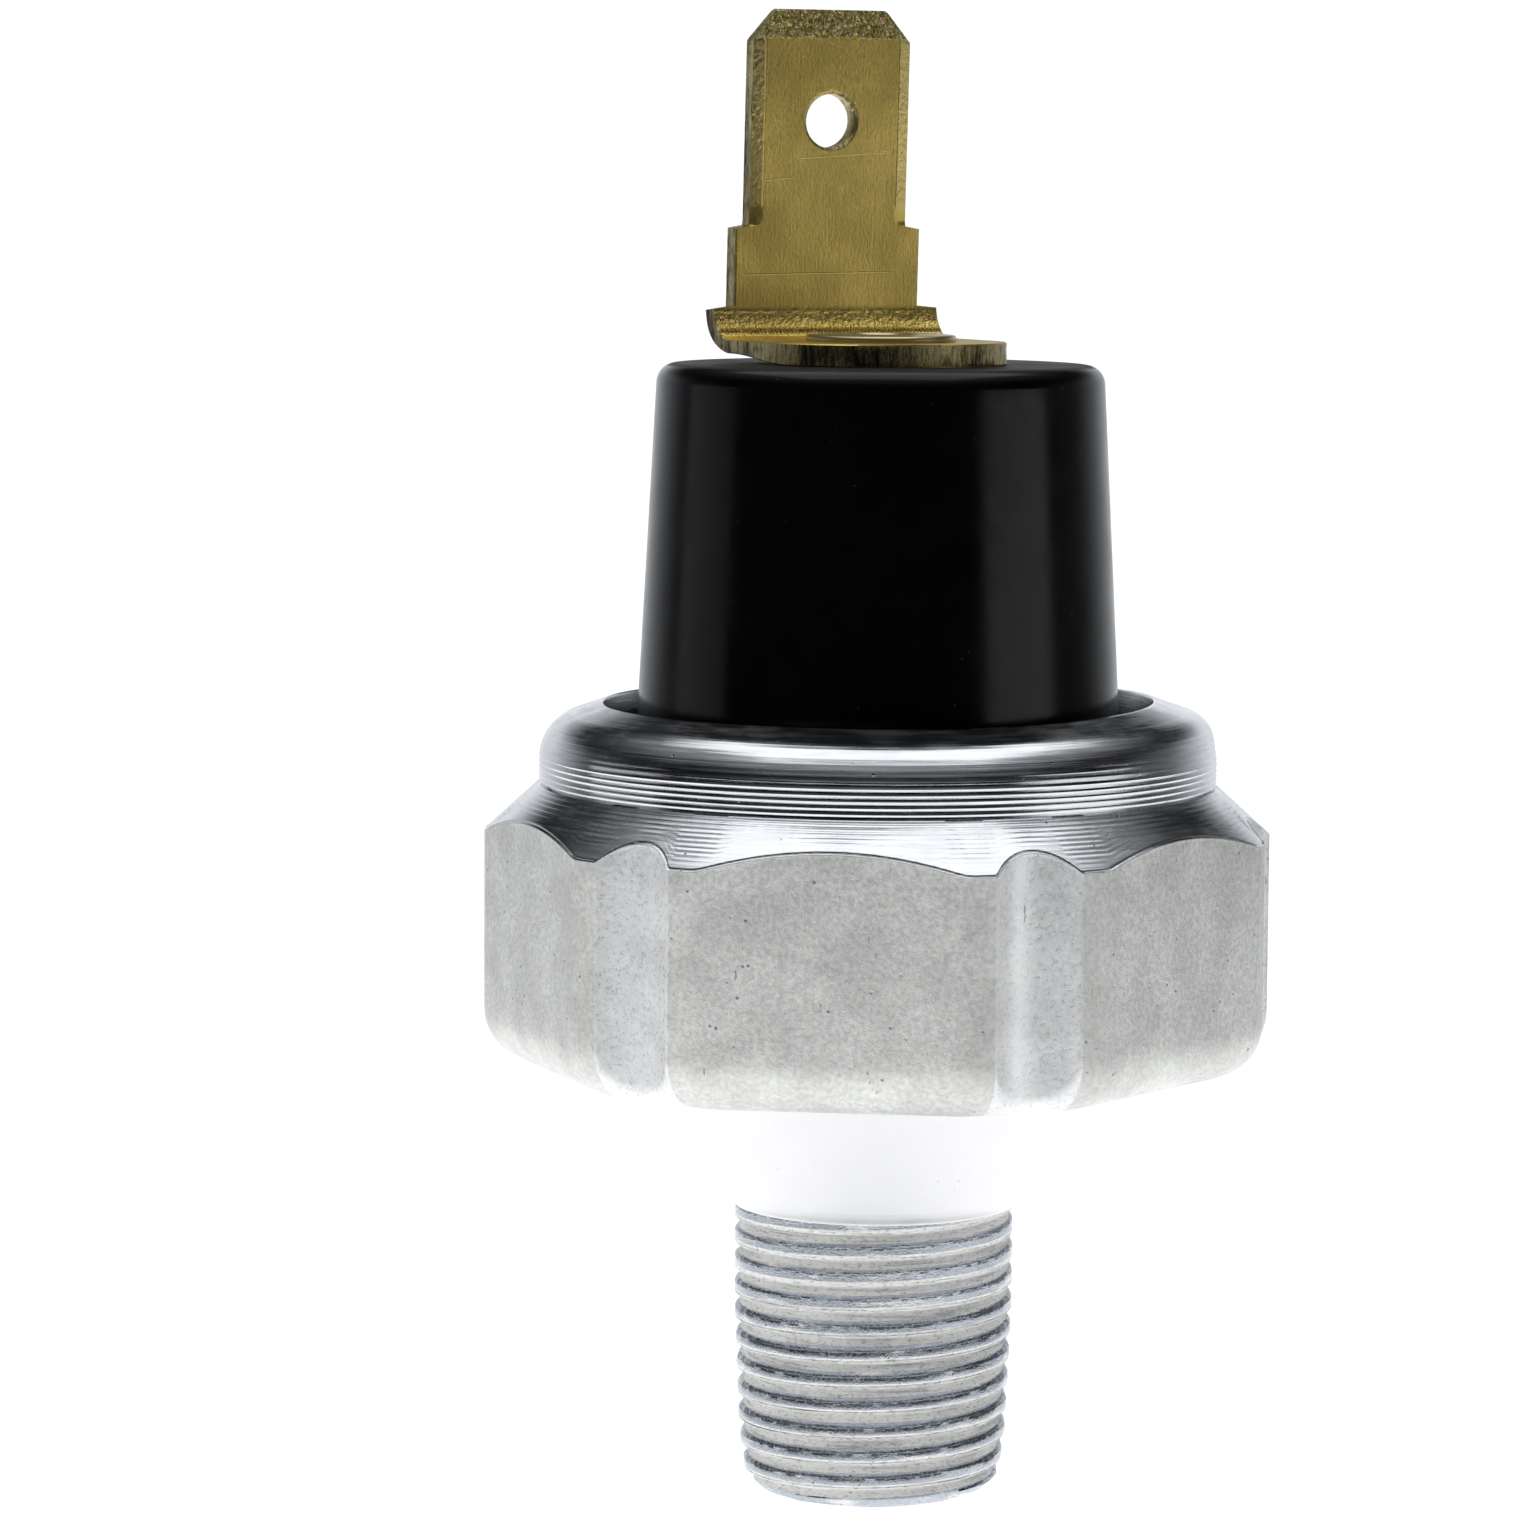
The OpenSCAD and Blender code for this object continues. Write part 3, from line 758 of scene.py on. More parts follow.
def settle(piece: bpy.types.Object, sharp: float = 35.0) -> bpy.types.Object:
    """Scales a new mesh to metres, turns its faces outward and shades it.

    Args:
        piece: The object, whose mesh is in millimetres.
        sharp: Angle above which an edge stays sharp, in degrees.

    Returns:
        The same object, linked into the scene.
    """
    bpy.context.scene.collection.objects.link(piece)
    mesh = piece.data
    draft = bmesh.new()
    draft.from_mesh(mesh)
    bmesh.ops.remove_doubles(draft, verts=draft.verts, dist=1e-5)
    bmesh.ops.dissolve_degenerate(draft, edges=draft.edges, dist=1e-6)
    bmesh.ops.recalc_face_normals(draft, faces=draft.faces)
    bmesh.ops.scale(draft, vec=(MM, MM, MM), verts=draft.verts)
    draft.to_mesh(mesh)
    draft.free()
    mesh.shade_smooth()
    mesh.set_sharp_from_angle(angle=math.radians(sharp))
    return piece


# ---------------------------------------------------------------- steel body


@dataclass(frozen=True)
class DrawnFlute(TumbledSteel):
    """Smoother skin of the flutes between the flats, rubbed bright along their length."""

    name: str = "fluted_steel"
    colour: Colour = (0.97, 0.98, 0.99)
    roughness: float = 0.33
    metallic: float = 0.5
    grit: float = 0.6
    pitting: float = 0.0


class Zone(Enum):
    """The areas of the steel body that have a finish of their own."""

    CREST = RolledCrest()
    FLANK = TornFlank()
    NECK = SatinPlating()
    FLATS = TumbledSteel()
    FLUTES = DrawnFlute()
    TURNED = TurnedPlating()
    BORE = SatinPlating("bored_plating", (0.60, 0.61, 0.62), 0.42)

    @property
    def slot(self) -> int:
        """Number of this zone's material slot."""
        return list(Zone).index(self)


Rings = list[tuple[list[int], Zone]]


@dataclass
class RolledThread:
    """The taper thread: rolled, with crests that fall away above, torn flanks and small folds."""

    length: float = 10.6
    pitch: float = 0.93
    depth: float = 0.50
    crest_r: float = 5.12
    crest_knee_z: float = 8.2
    taper: float = 0.042
    nose_knee_z: float = 2.8
    crest_phase_z: float = 9.375
    turns_below: int = 12
    turns: int = 15
    crest_phase_angle: float = 153.74
    steps: int = 288
    rough_h: float = 0.020
    burr_h: float = 0.035
    crest_band: Point = (-0.13, 0.30)
    form: tuple[Point, ...] = (
        (-0.50, 1.00), (-0.45, 0.90), (-0.40, 0.62), (-0.35, 0.36), (-0.29, 0.16), (-0.235, 0.05),
        (-0.205, 0.17), (-0.175, 0.03), (-0.11, 0.0), (-0.01, 0.025), (0.08, 0.065), (0.15, 0.11),
        (0.175, 0.18), (0.20, 0.15), (0.27, 0.23), (0.33, 0.42), (0.39, 0.72), (0.44, 0.94),
    )

    def nose(self, z: float) -> float:
        """Radius of the rounded-off end that the thread is cut on."""
        return float(np.interp(z, (0.0, 0.2, 0.8, 2.0), (3.24, 4.14, 4.69, 5.04)))

    def crest(self, z: float) -> float:
        """Radius of the crests at a height."""
        cone = self.crest_r - self.taper * max(0.0, self.crest_knee_z - z)
        return cone - 0.04 * max(0.0, self.nose_knee_z - z) ** 2

    def point(self, row: int, step: int) -> tuple[float, float, float]:
        """Point of the helix surface.

        Args:
            row: Row of the thread form, counted up from the lowest turn.
            step: Step round the turn.

        Returns:
            The point, in millimetres.
        """
        turn, place = divmod(row, len(self.form))
        offset, cut = self.form[place]
        share = step / self.steps
        angle = 2 * math.pi * share + math.radians(self.crest_phase_angle)
        lowest = self.crest_phase_z - self.turns_below * self.pitch
        z = lowest + (turn + offset + share) * self.pitch
        rough = self.rough_h * grain(3.0 * math.cos(angle), 3.0 * math.sin(angle), 7.0 * z + 2.0)
        burr = self.burr_h * grain(14.0 * math.cos(angle), 14.0 * math.sin(angle), 1.5 * z + 9.0)
        worn = 0.3 + 0.7 * (0.1 < cut < 0.9)
        radius = self.crest(z) - self.depth * cut + rough * worn + burr * worn * worn
        radius = min(radius, self.nose(max(0.0, z)))
        return (radius * math.cos(angle), radius * math.sin(angle), z)

    def add_to(self, draft: bmesh.types.BMesh, low_z: float) -> None:
        """Adds the helix surface between low_z and the thread's upper end.

        Args:
            draft: The mesh that receives it. It must be empty.
            low_z: Height at which the surface is cut off below.
        """
        form_rows = len(self.form)
        rows = self.turns * form_rows
        band_low, band_high = self.crest_band
        grid = [[draft.verts.new(self.point(r, s)) for s in range(self.steps)] for r in range(rows + 1)]
        for r in range(rows - form_rows):
            zone = Zone.CREST if band_low < self.form[r % form_rows][0] < band_high else Zone.FLANK
            for s in range(self.steps):
                row, step = (r + form_rows, 0) if s == self.steps - 1 else (r, s + 1)
                corners = (grid[r][s], grid[row][step], grid[row + 1][step], grid[r + 1][s])
                draft.faces.new(corners).material_index = zone.slot
        for height, direction in ((self.length, 1.0), (low_z, -1.0)):
            everything = draft.verts[:] + draft.edges[:] + draft.faces[:]
            bmesh.ops.bisect_plane(
                draft, geom=everything, dist=1e-6, plane_co=(0.0, 0.0, height),
                plane_no=(0.0, 0.0, direction), clear_outer=True,
            )
        loose = [vert for vert in draft.verts if not vert.link_faces]
        bmesh.ops.delete(draft, geom=loose, context="VERTS")


@dataclass
class SteelBody:
    """The one-piece steel body: thread, neck, fluted hexagon, crimped collar and bored inside."""

    neck_low_r: float = 5.14
    neck_high_r: float = 9.345
    hex_z: float = 15.7
    flat_r: float = 13.35
    land_r: float = 14.135
    hex_turn: float = -3.0
    edge_r: float = 1.95
    flute_r: float = 2.15
    shoulder_z: float = 24.1
    cone_run: float = 0.9
    collar_r: float = 12.17
    collar_z: float = 25.88
    roll_r: float = 1.70
    roll_z: float = 26.75
    lip_r: float = 9.87
    lip_z: float = 28.75
    lip_low_z: float = 27.5
    cavity_r: float = 11.0
    floor_z: float = 17.3
    groove_r: tuple[float, float] = (8.4, 10.3)
    groove_depth: float = 1.305
    chamber_r: float = 7.6
    chamber_depth: float = 0.4
    throttle_r: float = 0.6
    port_r: float = 1.75
    port_len: float = 12.8
    port_point: float = 0.69
    rim_heave: float = 0.20
    high_side: float = -26.0
    tool_pitch: float = 0.215
    tool_depth: float = 0.027
    burr_h: float = 0.014
    nick_depth: float = 0.05
    notch_depth: float = 0.28
    top_tilt: float = 72.0
    sway_h: float = 0.018
    neck_lip: float = 0.12
    end_z: float = 0.10

    def columns(self) -> np.ndarray:
        """Offsets of the mesh columns from the middle of a flat, in degrees, over half a sector."""
        edge = math.degrees(math.acos(self.flat_r / self.land_r))
        flute = 30.0 - self.flute_edge()
        parts = (
            np.linspace(0.0, edge - 2.2, 9),
            np.linspace(edge - 1.6, edge + 1.2, 9),
            np.linspace(edge + 1.9, flute - 1.1, 3),
            np.linspace(flute - 0.8, flute + 1.2, 9),
            np.linspace(flute + 1.8, 30.0, 7),
        )
        return np.concatenate(parts)

    def flute_edge(self) -> float:
        """Angle from a corner to the edge of its flute, in degrees."""
        place = self.flat_r + self.flute_r
        cosine = (place**2 + self.land_r**2 - self.flute_r**2) / (2 * place * self.land_r)
        return math.degrees(math.acos(cosine))

    def angles(self) -> tuple[np.ndarray, np.ndarray]:
        """Angles of all columns, and their offsets from the nearest flat, in radians."""
        half = self.columns()
        sector = np.concatenate((-half[::-1], half[1:-1]))
        offsets = np.tile(sector, 6)
        turns = np.repeat(np.arange(6) * 60.0, len(sector)) + self.hex_turn
        return np.radians(turns + offsets), np.radians(offsets)

    def wall(self, offsets: np.ndarray, inset: float = 0.0, soft: float = 0.11) -> np.ndarray:
        """Radius of the fluted hexagon's side.

        Args:
            offsets: Angle of each column from its flat, in radians.
            inset: How far the flats and lands are drawn in, as on the rounded lower edge.
            soft: Width over which edges are rounded off.

        Returns:
            The radius of each column.
        """
        flats = (self.flat_r - inset) / np.cos(offsets)
        body = smooth_min(flats, self.land_r - inset, soft)
        place = self.flat_r + self.flute_r
        corner = math.pi / 6 - np.abs(offsets)
        inside = self.flute_r**2 - (place * np.sin(corner)) ** 2
        flute = place * np.cos(corner) - np.sqrt(np.maximum(inside, 0.0))
        flute = np.where(inside > 0, flute, 2 * self.land_r)
        return smooth_min(body, flute, soft)

    def tool_mark(self, run: Spread) -> Spread:
        """Scalloped height left by the turning tool, at a distance along the surface."""
        share = np.mod(run / self.tool_pitch, 1.0) - 0.5
        return self.tool_depth * (4 * share * share - 0.5)

    def hexagon_rings(self, shell: Shell, angles: np.ndarray, offsets: np.ndarray) -> Rings:
        """Rings from the lower edge of the hexagon to the foot of the collar."""
        rings: Rings = []
        for turn in np.radians(np.linspace(0.0, 90.0, 11)):
            inset = self.edge_r * (1 - math.sin(turn))
            height = self.hex_z + self.edge_r * (1 - math.cos(turn))
            soft = 0.11 + 0.12 * (1 - math.sin(turn))
            rings.append((shell.ring(angles, self.wall(offsets, inset, soft), height), Zone.FLATS))
        side = self.wall(offsets)
        crest = self.shoulder_z + self.cone_run * (self.land_r - side)
        low = self.hex_z + self.edge_r
        for share in np.linspace(0.1, 1.0, 9):
            rings.append((shell.ring(angles, side, low + (crest - 0.25 - low) * share), Zone.FLATS))
        for rise in (-0.15, -0.09, -0.05, -0.02, 0.0, 0.02, 0.045, 0.07, 0.10):
            height = crest + rise
            cone = self.land_r - (height - self.shoulder_z) / self.cone_run
            burr = self.burr_h * math.exp(-((rise + 0.01) / 0.035) ** 2)
            burr -= self.nick_depth * math.exp(-((rise - 0.045) / 0.025) ** 2)
            radius = np.minimum(smooth_min(side, cone, 0.05) + burr, self.land_r)
            rings.append((shell.ring(angles, radius, height), Zone.TURNED if rise >= 0 else Zone.FLATS))
        top = self.collar_z - 0.04
        for share in np.linspace(0.0, 1.0, 46):
            height = (crest + 0.13) + (top - crest - 0.13) * share
            cone = self.land_r - (height - self.shoulder_z) / self.cone_run
            run = height * math.hypot(1.0, 1 / self.cone_run)
            mark = 1.1 * self.tool_mark(run) * min(1.0, 4 * share)
            rings.append((shell.ring(angles, cone + mark, height), Zone.TURNED))
        return rings

    def collar_profile(self) -> list[tuple[float, float, float]]:
        """Radius, height and outward tilt in degrees along the collar's outside and its rolled rim."""
        notch = self.collar_r - self.notch_depth
        points = [(notch, self.collar_z - 0.02, 0.0), (notch, self.collar_z + 0.05, 0.0)]
        straight = self.roll_z - self.collar_z
        for z in np.arange(0.08, straight, 0.03):
            points.append((self.collar_r, self.collar_z + float(z), 0.0))
        centre_r = self.collar_r - self.roll_r
        for tilt in np.linspace(0.0, self.top_tilt, 60):
            turn = math.radians(float(tilt))
            r = centre_r + self.roll_r * math.cos(turn)
            points.append((r, self.roll_z + self.roll_r * math.sin(turn), float(tilt)))
        last_r, last_z, _ = points[-1]
        edge = 0.08
        for share in np.linspace(0.08, 1.0, 12):
            r = last_r + (self.lip_r + edge - last_r) * float(share)
            points.append((r, last_z + (self.lip_z - 0.02 - last_z) * float(share), self.top_tilt))
        points.append((self.lip_r + 0.02, self.lip_z - 0.05, 90.0))
        points.append((self.lip_r, self.lip_z - 0.14, 90.0))
        return points

    def collar_rings(self, shell: Shell, angles: np.ndarray) -> Rings:
        """Rings of the collar, with tool marks that fade out over the burnished roll.

        Args:
            shell: The mesh that receives the rings.
            angles: Angle of each column, in radians.

        Returns:
            The rings, each with its zone.
        """
        rings: Rings = []
        run = 0.0
        before: Point | None = None
        high_side = np.maximum(np.cos(angles - math.radians(self.high_side)), 0.0) ** 2
        wave = np.array([grain(2.2 * math.cos(a), 2.2 * math.sin(a), 5.0) for a in angles])
        for r, z, tilt in self.collar_profile():
            run += 0.0 if before is None else math.hypot(r - before[0], z - before[1])
            before = (r, z)
            fade = 1.0 - 0.86 * ease(tilt, 4.0, 26.0) - 0.14 * ease(tilt, 60.0, self.top_tilt)
            mark = self.tool_mark(run) * fade * (z > self.collar_z + 0.05)
            sway = self.sway_h * wave * ease(tilt, 8.0, 40.0) * (1 - ease(tilt, 80.0, 90.0))
            rise = mark + sway
            lean = math.radians(tilt)
            heave = self.rim_heave * high_side * ease(tilt, 2.0, 55.0)
            bulge = 0.8 * self.rim_heave * high_side * ease(tilt, 10.0, 45.0)
            bulge *= 1 - ease(tilt, 55.0, 85.0)
            out = r + rise * math.cos(lean) + bulge
            rings.append((shell.ring(angles, out, z + rise * math.sin(lean) + heave), Zone.TURNED))
        return rings

    def inside_profile(self) -> list[tuple[float, float, Zone]]:
        """Half-section of the inside, from the lip down to the end face."""
        low, high = self.groove_r
        floor = self.floor_z
        return [
            (self.lip_r, self.lip_low_z, Zone.TURNED),
            (self.cavity_r, self.lip_low_z, Zone.BORE),
            (self.cavity_r, floor, Zone.BORE),
            (high, floor, Zone.BORE),
            (high, floor - self.groove_depth, Zone.BORE),
            (low, floor - self.groove_depth, Zone.BORE),
            (low, floor, Zone.BORE),
            (self.chamber_r, floor, Zone.BORE),
            (self.chamber_r, floor - self.chamber_depth, Zone.BORE),
            (self.throttle_r, floor - self.chamber_depth, Zone.BORE),
            (self.throttle_r, self.port_len + self.port_point, Zone.BORE),
            (self.port_r, self.port_len, Zone.BORE),
            (self.port_r, 0.2, Zone.BORE),
            (self.port_r + 0.2, 0.0, Zone.NECK),
            (3.24, 0.0, Zone.NECK),
        ]

    def neck_profile(self) -> Profile:
        """Outline of the conical neck from the thread up to the hexagon's underside."""
        length = RolledThread().length
        rise = self.hex_z - length
        slope = (self.neck_high_r - self.neck_low_r) / rise
        foot = [(self.neck_low_r - 0.02, length), (self.neck_low_r, length + 0.04)]
        climbs = [self.neck_lip + (rise - self.neck_lip) * share for share in np.linspace(0.0, 1.0, 12)]
        return foot + [(self.neck_low_r + slope * climb, length + climb) for climb in climbs]

    def build(self) -> bpy.types.Object:
        """Builds the body as one closed mesh.

        Returns:
            The object, which stands for the frame's housing.
        """
        thread = RolledThread()
        shell = Shell()
        angles, offsets = self.angles()
        rings = [(shell.ring(angles, r, z), Zone.NECK) for r, z in self.neck_profile()]
        rings += self.hexagon_rings(shell, angles, offsets)
        rings += self.collar_rings(shell, angles)
        rings += [(shell.ring(angles, r, z), zone) for r, z, zone in self.inside_profile()]
        last = shell.ring(angles, thread.nose(0.05), 0.05)
        edge = math.radians(30.0 - self.flute_edge()) - 1e-3
        forged = [(Zone.FLUTES if abs(offset) > edge else Zone.FLATS).slot for offset in offsets]
        for (low, zone), (high, _) in zip(rings, rings[1:] + [(last, Zone.NECK)]):
            shell.band(low, high, forged if zone is Zone.FLATS else zone.slot)
        body = bmesh.new()
        thread.add_to(body, self.end_z)
        points = [body.verts.new(point) for point in shell.points]
        for corners, slot in zip(shell.faces, shell.slots):
            body.faces.new([points[i] for i in corners]).material_index = slot
        body.verts.index_update()
        seams = [seam for seam in body.edges if seam.is_boundary]
        for high, zone in ((False, Zone.NECK), (True, Zone.FLANK)):
            loop = [seam for seam in seams if (seam.verts[0].co.z > thread.length / 2) == high]
            for face in bmesh.ops.bridge_loops(body, edges=loop)["faces"]:
                face.material_index = zone.slot
        mesh = bpy.data.meshes.new("steel_body")
        body.to_mesh(mesh)
        body.free()
        for zone in Zone:
            mesh.materials.append(zone.value.material())
        piece = settle(bpy.data.objects.new("steel_body", mesh), 40.0)
        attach(piece, "root")
        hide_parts("housing")
        return piece


# ---------------------------------------------------------------- insulator and rivet


@dataclass
class Insulator:
    """The black moulding: base inside the collar, drafted column, roof and bored inside."""

    base_z: float = 20.15
    base_r: float = 10.9
    flange_z: float = 27.1
    column_low_r: float = 8.72
    draft: float = 3.05
    edge_r: float = 0.7
    roof_z: float = 40.9
    roof_low_z: float = 38.4
    bore_r: float = 6.135
    room_r: float = 7.285
    room_z: float = 23.15
    hole_r: float = 1.8
    seal_r: float = 2.8
    seal_depth: float = 0.783

    def section(self) -> Profile:
        """Closed half-section, from the base's inner edge round the outside and back."""
        slant = math.radians(self.draft)
        top_r = self.column_low_r - (self.roof_z - self.flange_z) * math.tan(slant)
        edge_x = top_r + self.edge_r * (math.tan(slant) - 1 / math.cos(slant))
        rise = self.roof_z - self.edge_r - self.flange_z
        side = [
            (self.column_low_r - rise * share * math.tan(slant), self.flange_z + rise * share)
            for share in np.linspace(0.04, 0.96, 14)
        ]
        return (
            [(self.room_r, self.base_z), (self.base_r, self.base_z)]
            + arc((self.base_r - 0.3, self.flange_z - 0.3), 0.3, 0.0, 90.0, 5)
            + [(self.column_low_r, self.flange_z)]
            + side
            + arc((edge_x, self.roof_z - self.edge_r), self.edge_r, self.draft, 90.0, 14)
            + [(self.seal_r + 0.04, self.roof_z), (self.seal_r, self.roof_z - 0.04)]
            + [(self.seal_r, self.roof_z - self.seal_depth), (self.hole_r, self.roof_z - self.seal_depth)]
            + [(self.hole_r, self.roof_low_z), (self.bore_r, self.roof_low_z)]
            + [(self.bore_r, self.room_z), (self.room_r, self.room_z)]
        )

    def build(self) -> bpy.types.Object:
        """Builds the moulding and returns it."""
        shell = Shell()
        shell.turned(self.section(), 256, lambda start: 0)
        piece = shell.finish("insulator_moulding", [GlossMoulding(top_z=self.roof_z)], 30.0)
        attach(piece, "root")
        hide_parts("insulator")
        return piece


@dataclass
class TerminalRivet:
    """The hollow rivet that holds the terminal, with a low crowned head."""

    bore_r: float = 1.05
    shank_r: float = 1.8
    clinch_r: float = 2.4
    clinch_z: float = 37.5
    washer_z: float = 37.9
    head_r: float = 2.7
    head_low_z: float = 41.7
    head_z: float = 41.97

    def section(self) -> Profile:
        """Closed half-section, from the lower end of the bore round the outside."""
        edge = 0.13
        crown = [
            (self.head_r - edge - 0.35 * share, self.head_z - 0.03 + 0.03 * share)
            for share in (0.3, 0.6, 1.0)
        ]
        return (
            [(self.bore_r, self.clinch_z + 0.08), (self.bore_r + 0.08, self.clinch_z)]
            + arc((self.clinch_r - 0.12, self.clinch_z + 0.12), 0.12, -90.0, 0.0, 4)
            + [(self.clinch_r, self.washer_z), (self.shank_r, self.washer_z)]
            + [(self.shank_r, self.head_low_z), (self.head_r - 0.03, self.head_low_z)]
            + arc((self.head_r - edge, self.head_z - 0.03 - edge), edge, 0.0, 90.0, 6)
            + crown
            + [(self.bore_r + 0.12, self.head_z), (self.bore_r, self.head_z - 0.12)]
        )

    def build(self) -> bpy.types.Object:
        """Builds the rivet and returns it."""
        shell = Shell()
        shell.turned(self.section(), 128, lambda start: 0)
        brass = SheetBrass("rivet_brass", (0.95, 0.75, 0.26), 0.30)
        piece = shell.finish("terminal_rivet_turned", [brass], 40.0)
        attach(piece, "root")
        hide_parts("terminal_rivet")
        return piece


# ---------------------------------------------------------------- terminal


@dataclass
class BladeTerminal:
    """The brass terminal: round foot, square bend with a bead of tool marks, and the plug-in blade."""

    thick: float = 0.8
    foot_r: float = 4.5
    foot_z: float = 41.7
    bend_y: float = 3.3
    bend_r: float = 1.2
    lean: float = 2.6
    step_h: float = -0.17
    shoulder_w: float = 7.4
    shoulder_h: float = 2.80
    tab_w: float = 6.3
    tab_len: float = 7.79
    bevel_w: float = 0.5
    bevel_t: float = 0.11
    nose_h: float = 1.0
    corner_h: float = 1.15
    corner_w: float = 0.95
    hole_r: float = 0.97
    hole_drop: float = 4.0
    rivet_r: float = 1.8
    bead_run: float = 1.12
    curl: float = 0.30
    columns: int = 240
    bead_pitch: float = 0.150
    sheared: tuple[tuple[float, float, int], ...] = (
        (1.0, 0.0, 1), (0.45, 0.4, 1), (-0.1, 0.9, 1), (-0.6, 1.0, 1), (-1.0, 0.2, 0),
    )

    @property
    def arc_len(self) -> float:
        """Length of the bend along the sheet's middle plane."""
        return (self.bend_r + self.thick / 2) * math.radians(90.0 + self.lean)

    @property
    def blade_start(self) -> float:
        """Distance along the sheet at which the straight blade starts."""
        return self.bend_y + self.arc_len

    @property
    def end(self) -> float:
        """Distance along the sheet of the blade's end."""
        return self.blade_start + self.shoulder_h + self.tab_len

    def half_width(self, run: float) -> float:
        """Half the sheet's width at a distance along it from the rivet's axis."""
        if run < 0:
            return math.sqrt(max(self.foot_r**2 - run**2, 0.0))
        up = run - self.blade_start
        soft = 0.10
        corner = self.shoulder_h + self.tab_len - self.corner_h
        rounded = self.corner_h * 0.97
        heights = (-1.0, self.step_h - soft / 2, self.step_h + soft / 2)
        heights += (self.shoulder_h - soft, self.shoulder_h)
        heights += (corner, corner + rounded, corner + self.corner_h)
        foot, shoulder, tab = self.foot_r, self.shoulder_w / 2, self.tab_w / 2
        nose = tab - self.corner_w * 0.97
        widths = (foot, foot, shoulder, shoulder, tab, tab, nose, nose - 0.08)
        return float(np.interp(up, heights, widths))

    def runs(self) -> list[float]:
        """Distances along the sheet at which it has a row of points."""
        start = self.blade_start
        top = self.shoulder_h + self.tab_len
        bead = self.bend_y + self.bead_run
        parts = (
            -self.foot_r * np.cos(np.linspace(0.03, math.pi / 2, 40)),
            np.linspace(0.2, self.bend_y, 16),
            np.linspace(self.bend_y + 0.07, bead - 0.26, 16),
            np.linspace(bead - 0.22, bead + 0.22, 17),
            np.linspace(bead + 0.26, start + self.step_h - 0.10, 8),
            start + np.linspace(self.step_h - 0.05, self.step_h + 0.05, 5),
            start + np.linspace(self.step_h + 0.10, self.shoulder_h - 0.14, 20),
            start + np.linspace(self.shoulder_h - 0.10, self.shoulder_h, 5),
            start + np.linspace(self.shoulder_h + 0.06, top - self.corner_h - 0.05, 46),
            start + top - self.corner_h + np.linspace(0.0, self.corner_h, 14),
        )
        return [float(value) for value in np.concatenate(parts)]

    def bent(self, across: float, run: float, lift: float) -> tuple[float, float, float]:
        """Place of a point of the flat sheet after bending.

        Args:
            across: Distance from the middle of the width.
            run: Distance along the sheet from the rivet's axis.
            lift: Height above the sheet's middle plane, on the side the blade leans to.

        Returns:
            The point, in millimetres.
        """
        middle = self.foot_z - self.thick / 2
        if run <= self.bend_y:
            return (across, run, middle + lift)
        radius = self.bend_r + self.thick / 2
        turn = min((run - self.bend_y) / radius, math.radians(90.0 + self.lean))
        reach = radius - lift
        y = self.bend_y + reach * math.sin(turn)
        z = self.foot_z + self.bend_r - reach * math.cos(turn)
        beyond = max(0.0, run - self.blade_start)
        return (across, y + beyond * math.cos(turn), z + beyond * math.sin(turn))

    def bead(self, across: float, run: float) -> float:
        """Height of the row of small tool marks at the inside of the bend."""
        line = run - self.bend_y - self.bead_run - 0.05 * grain(across * 0.6, 8.0, 0.0)
        ridge = math.exp(-((line / 0.085) ** 2))
        beads = 0.5 + 0.5 * math.cos(2 * math.pi * across / self.bead_pitch)
        uneven = 0.75 + 0.45 * grain(across * 2.0, 4.0, 0.0)
        return ridge * (0.015 + 0.085 * beads * uneven)

    def row(self, run: float) -> list[tuple[float, float, float, int]]:
        """Closed cross-section of the sheet at a distance along it.

        Args:
            run: Distance along the sheet.

        Returns:
            Across, lift and depth of shear for each point, with the slot of the face after it.
        """
        half = self.half_width(run)
        up = run - self.blade_start
        top = self.shoulder_h + self.tab_len
        nose = self.bevel_t * float(np.clip((up - top + self.nose_h) / self.nose_h, 0.0, 1.0))
        thick = self.thick / 2 - nose
        on_tab = float(ease(up, self.shoulder_h - 0.05, self.shoulder_h + 0.12))
        bevel_w = min(0.05 + (self.bevel_w - 0.05) * on_tab, half)
        bevel_t = min(0.04 + (self.bevel_t - 0.04) * on_tab, thick * 0.6)
        flat = half - bevel_w
        points: list[tuple[float, float, float, int]] = []
        for side in (1.0, -1.0):
            for j in range(self.columns + 1):
                x = side * flat * (1 - 2 * j / self.columns)
                lift = side * thick
                if side > 0:
                    lift += self.bead(x, run)
                points.append((x, lift, 0.0, 0))
            for share, depth, slot in self.sheared:
                points.append((-side * half, side * share * (thick - bevel_t), depth, slot))
        return points

    def shear(self, run: float, lift: float, depth: float, side: float) -> float:
        """How far the sheared edge stands in, with striations across the thickness."""
        stria = grain(run * 5.0, side * 3.0, lift * 0.8) + 0.6 * grain(run * 13.0, side * 3.0, lift * 2.0)
        return depth * 0.028 * (0.9 + stria)

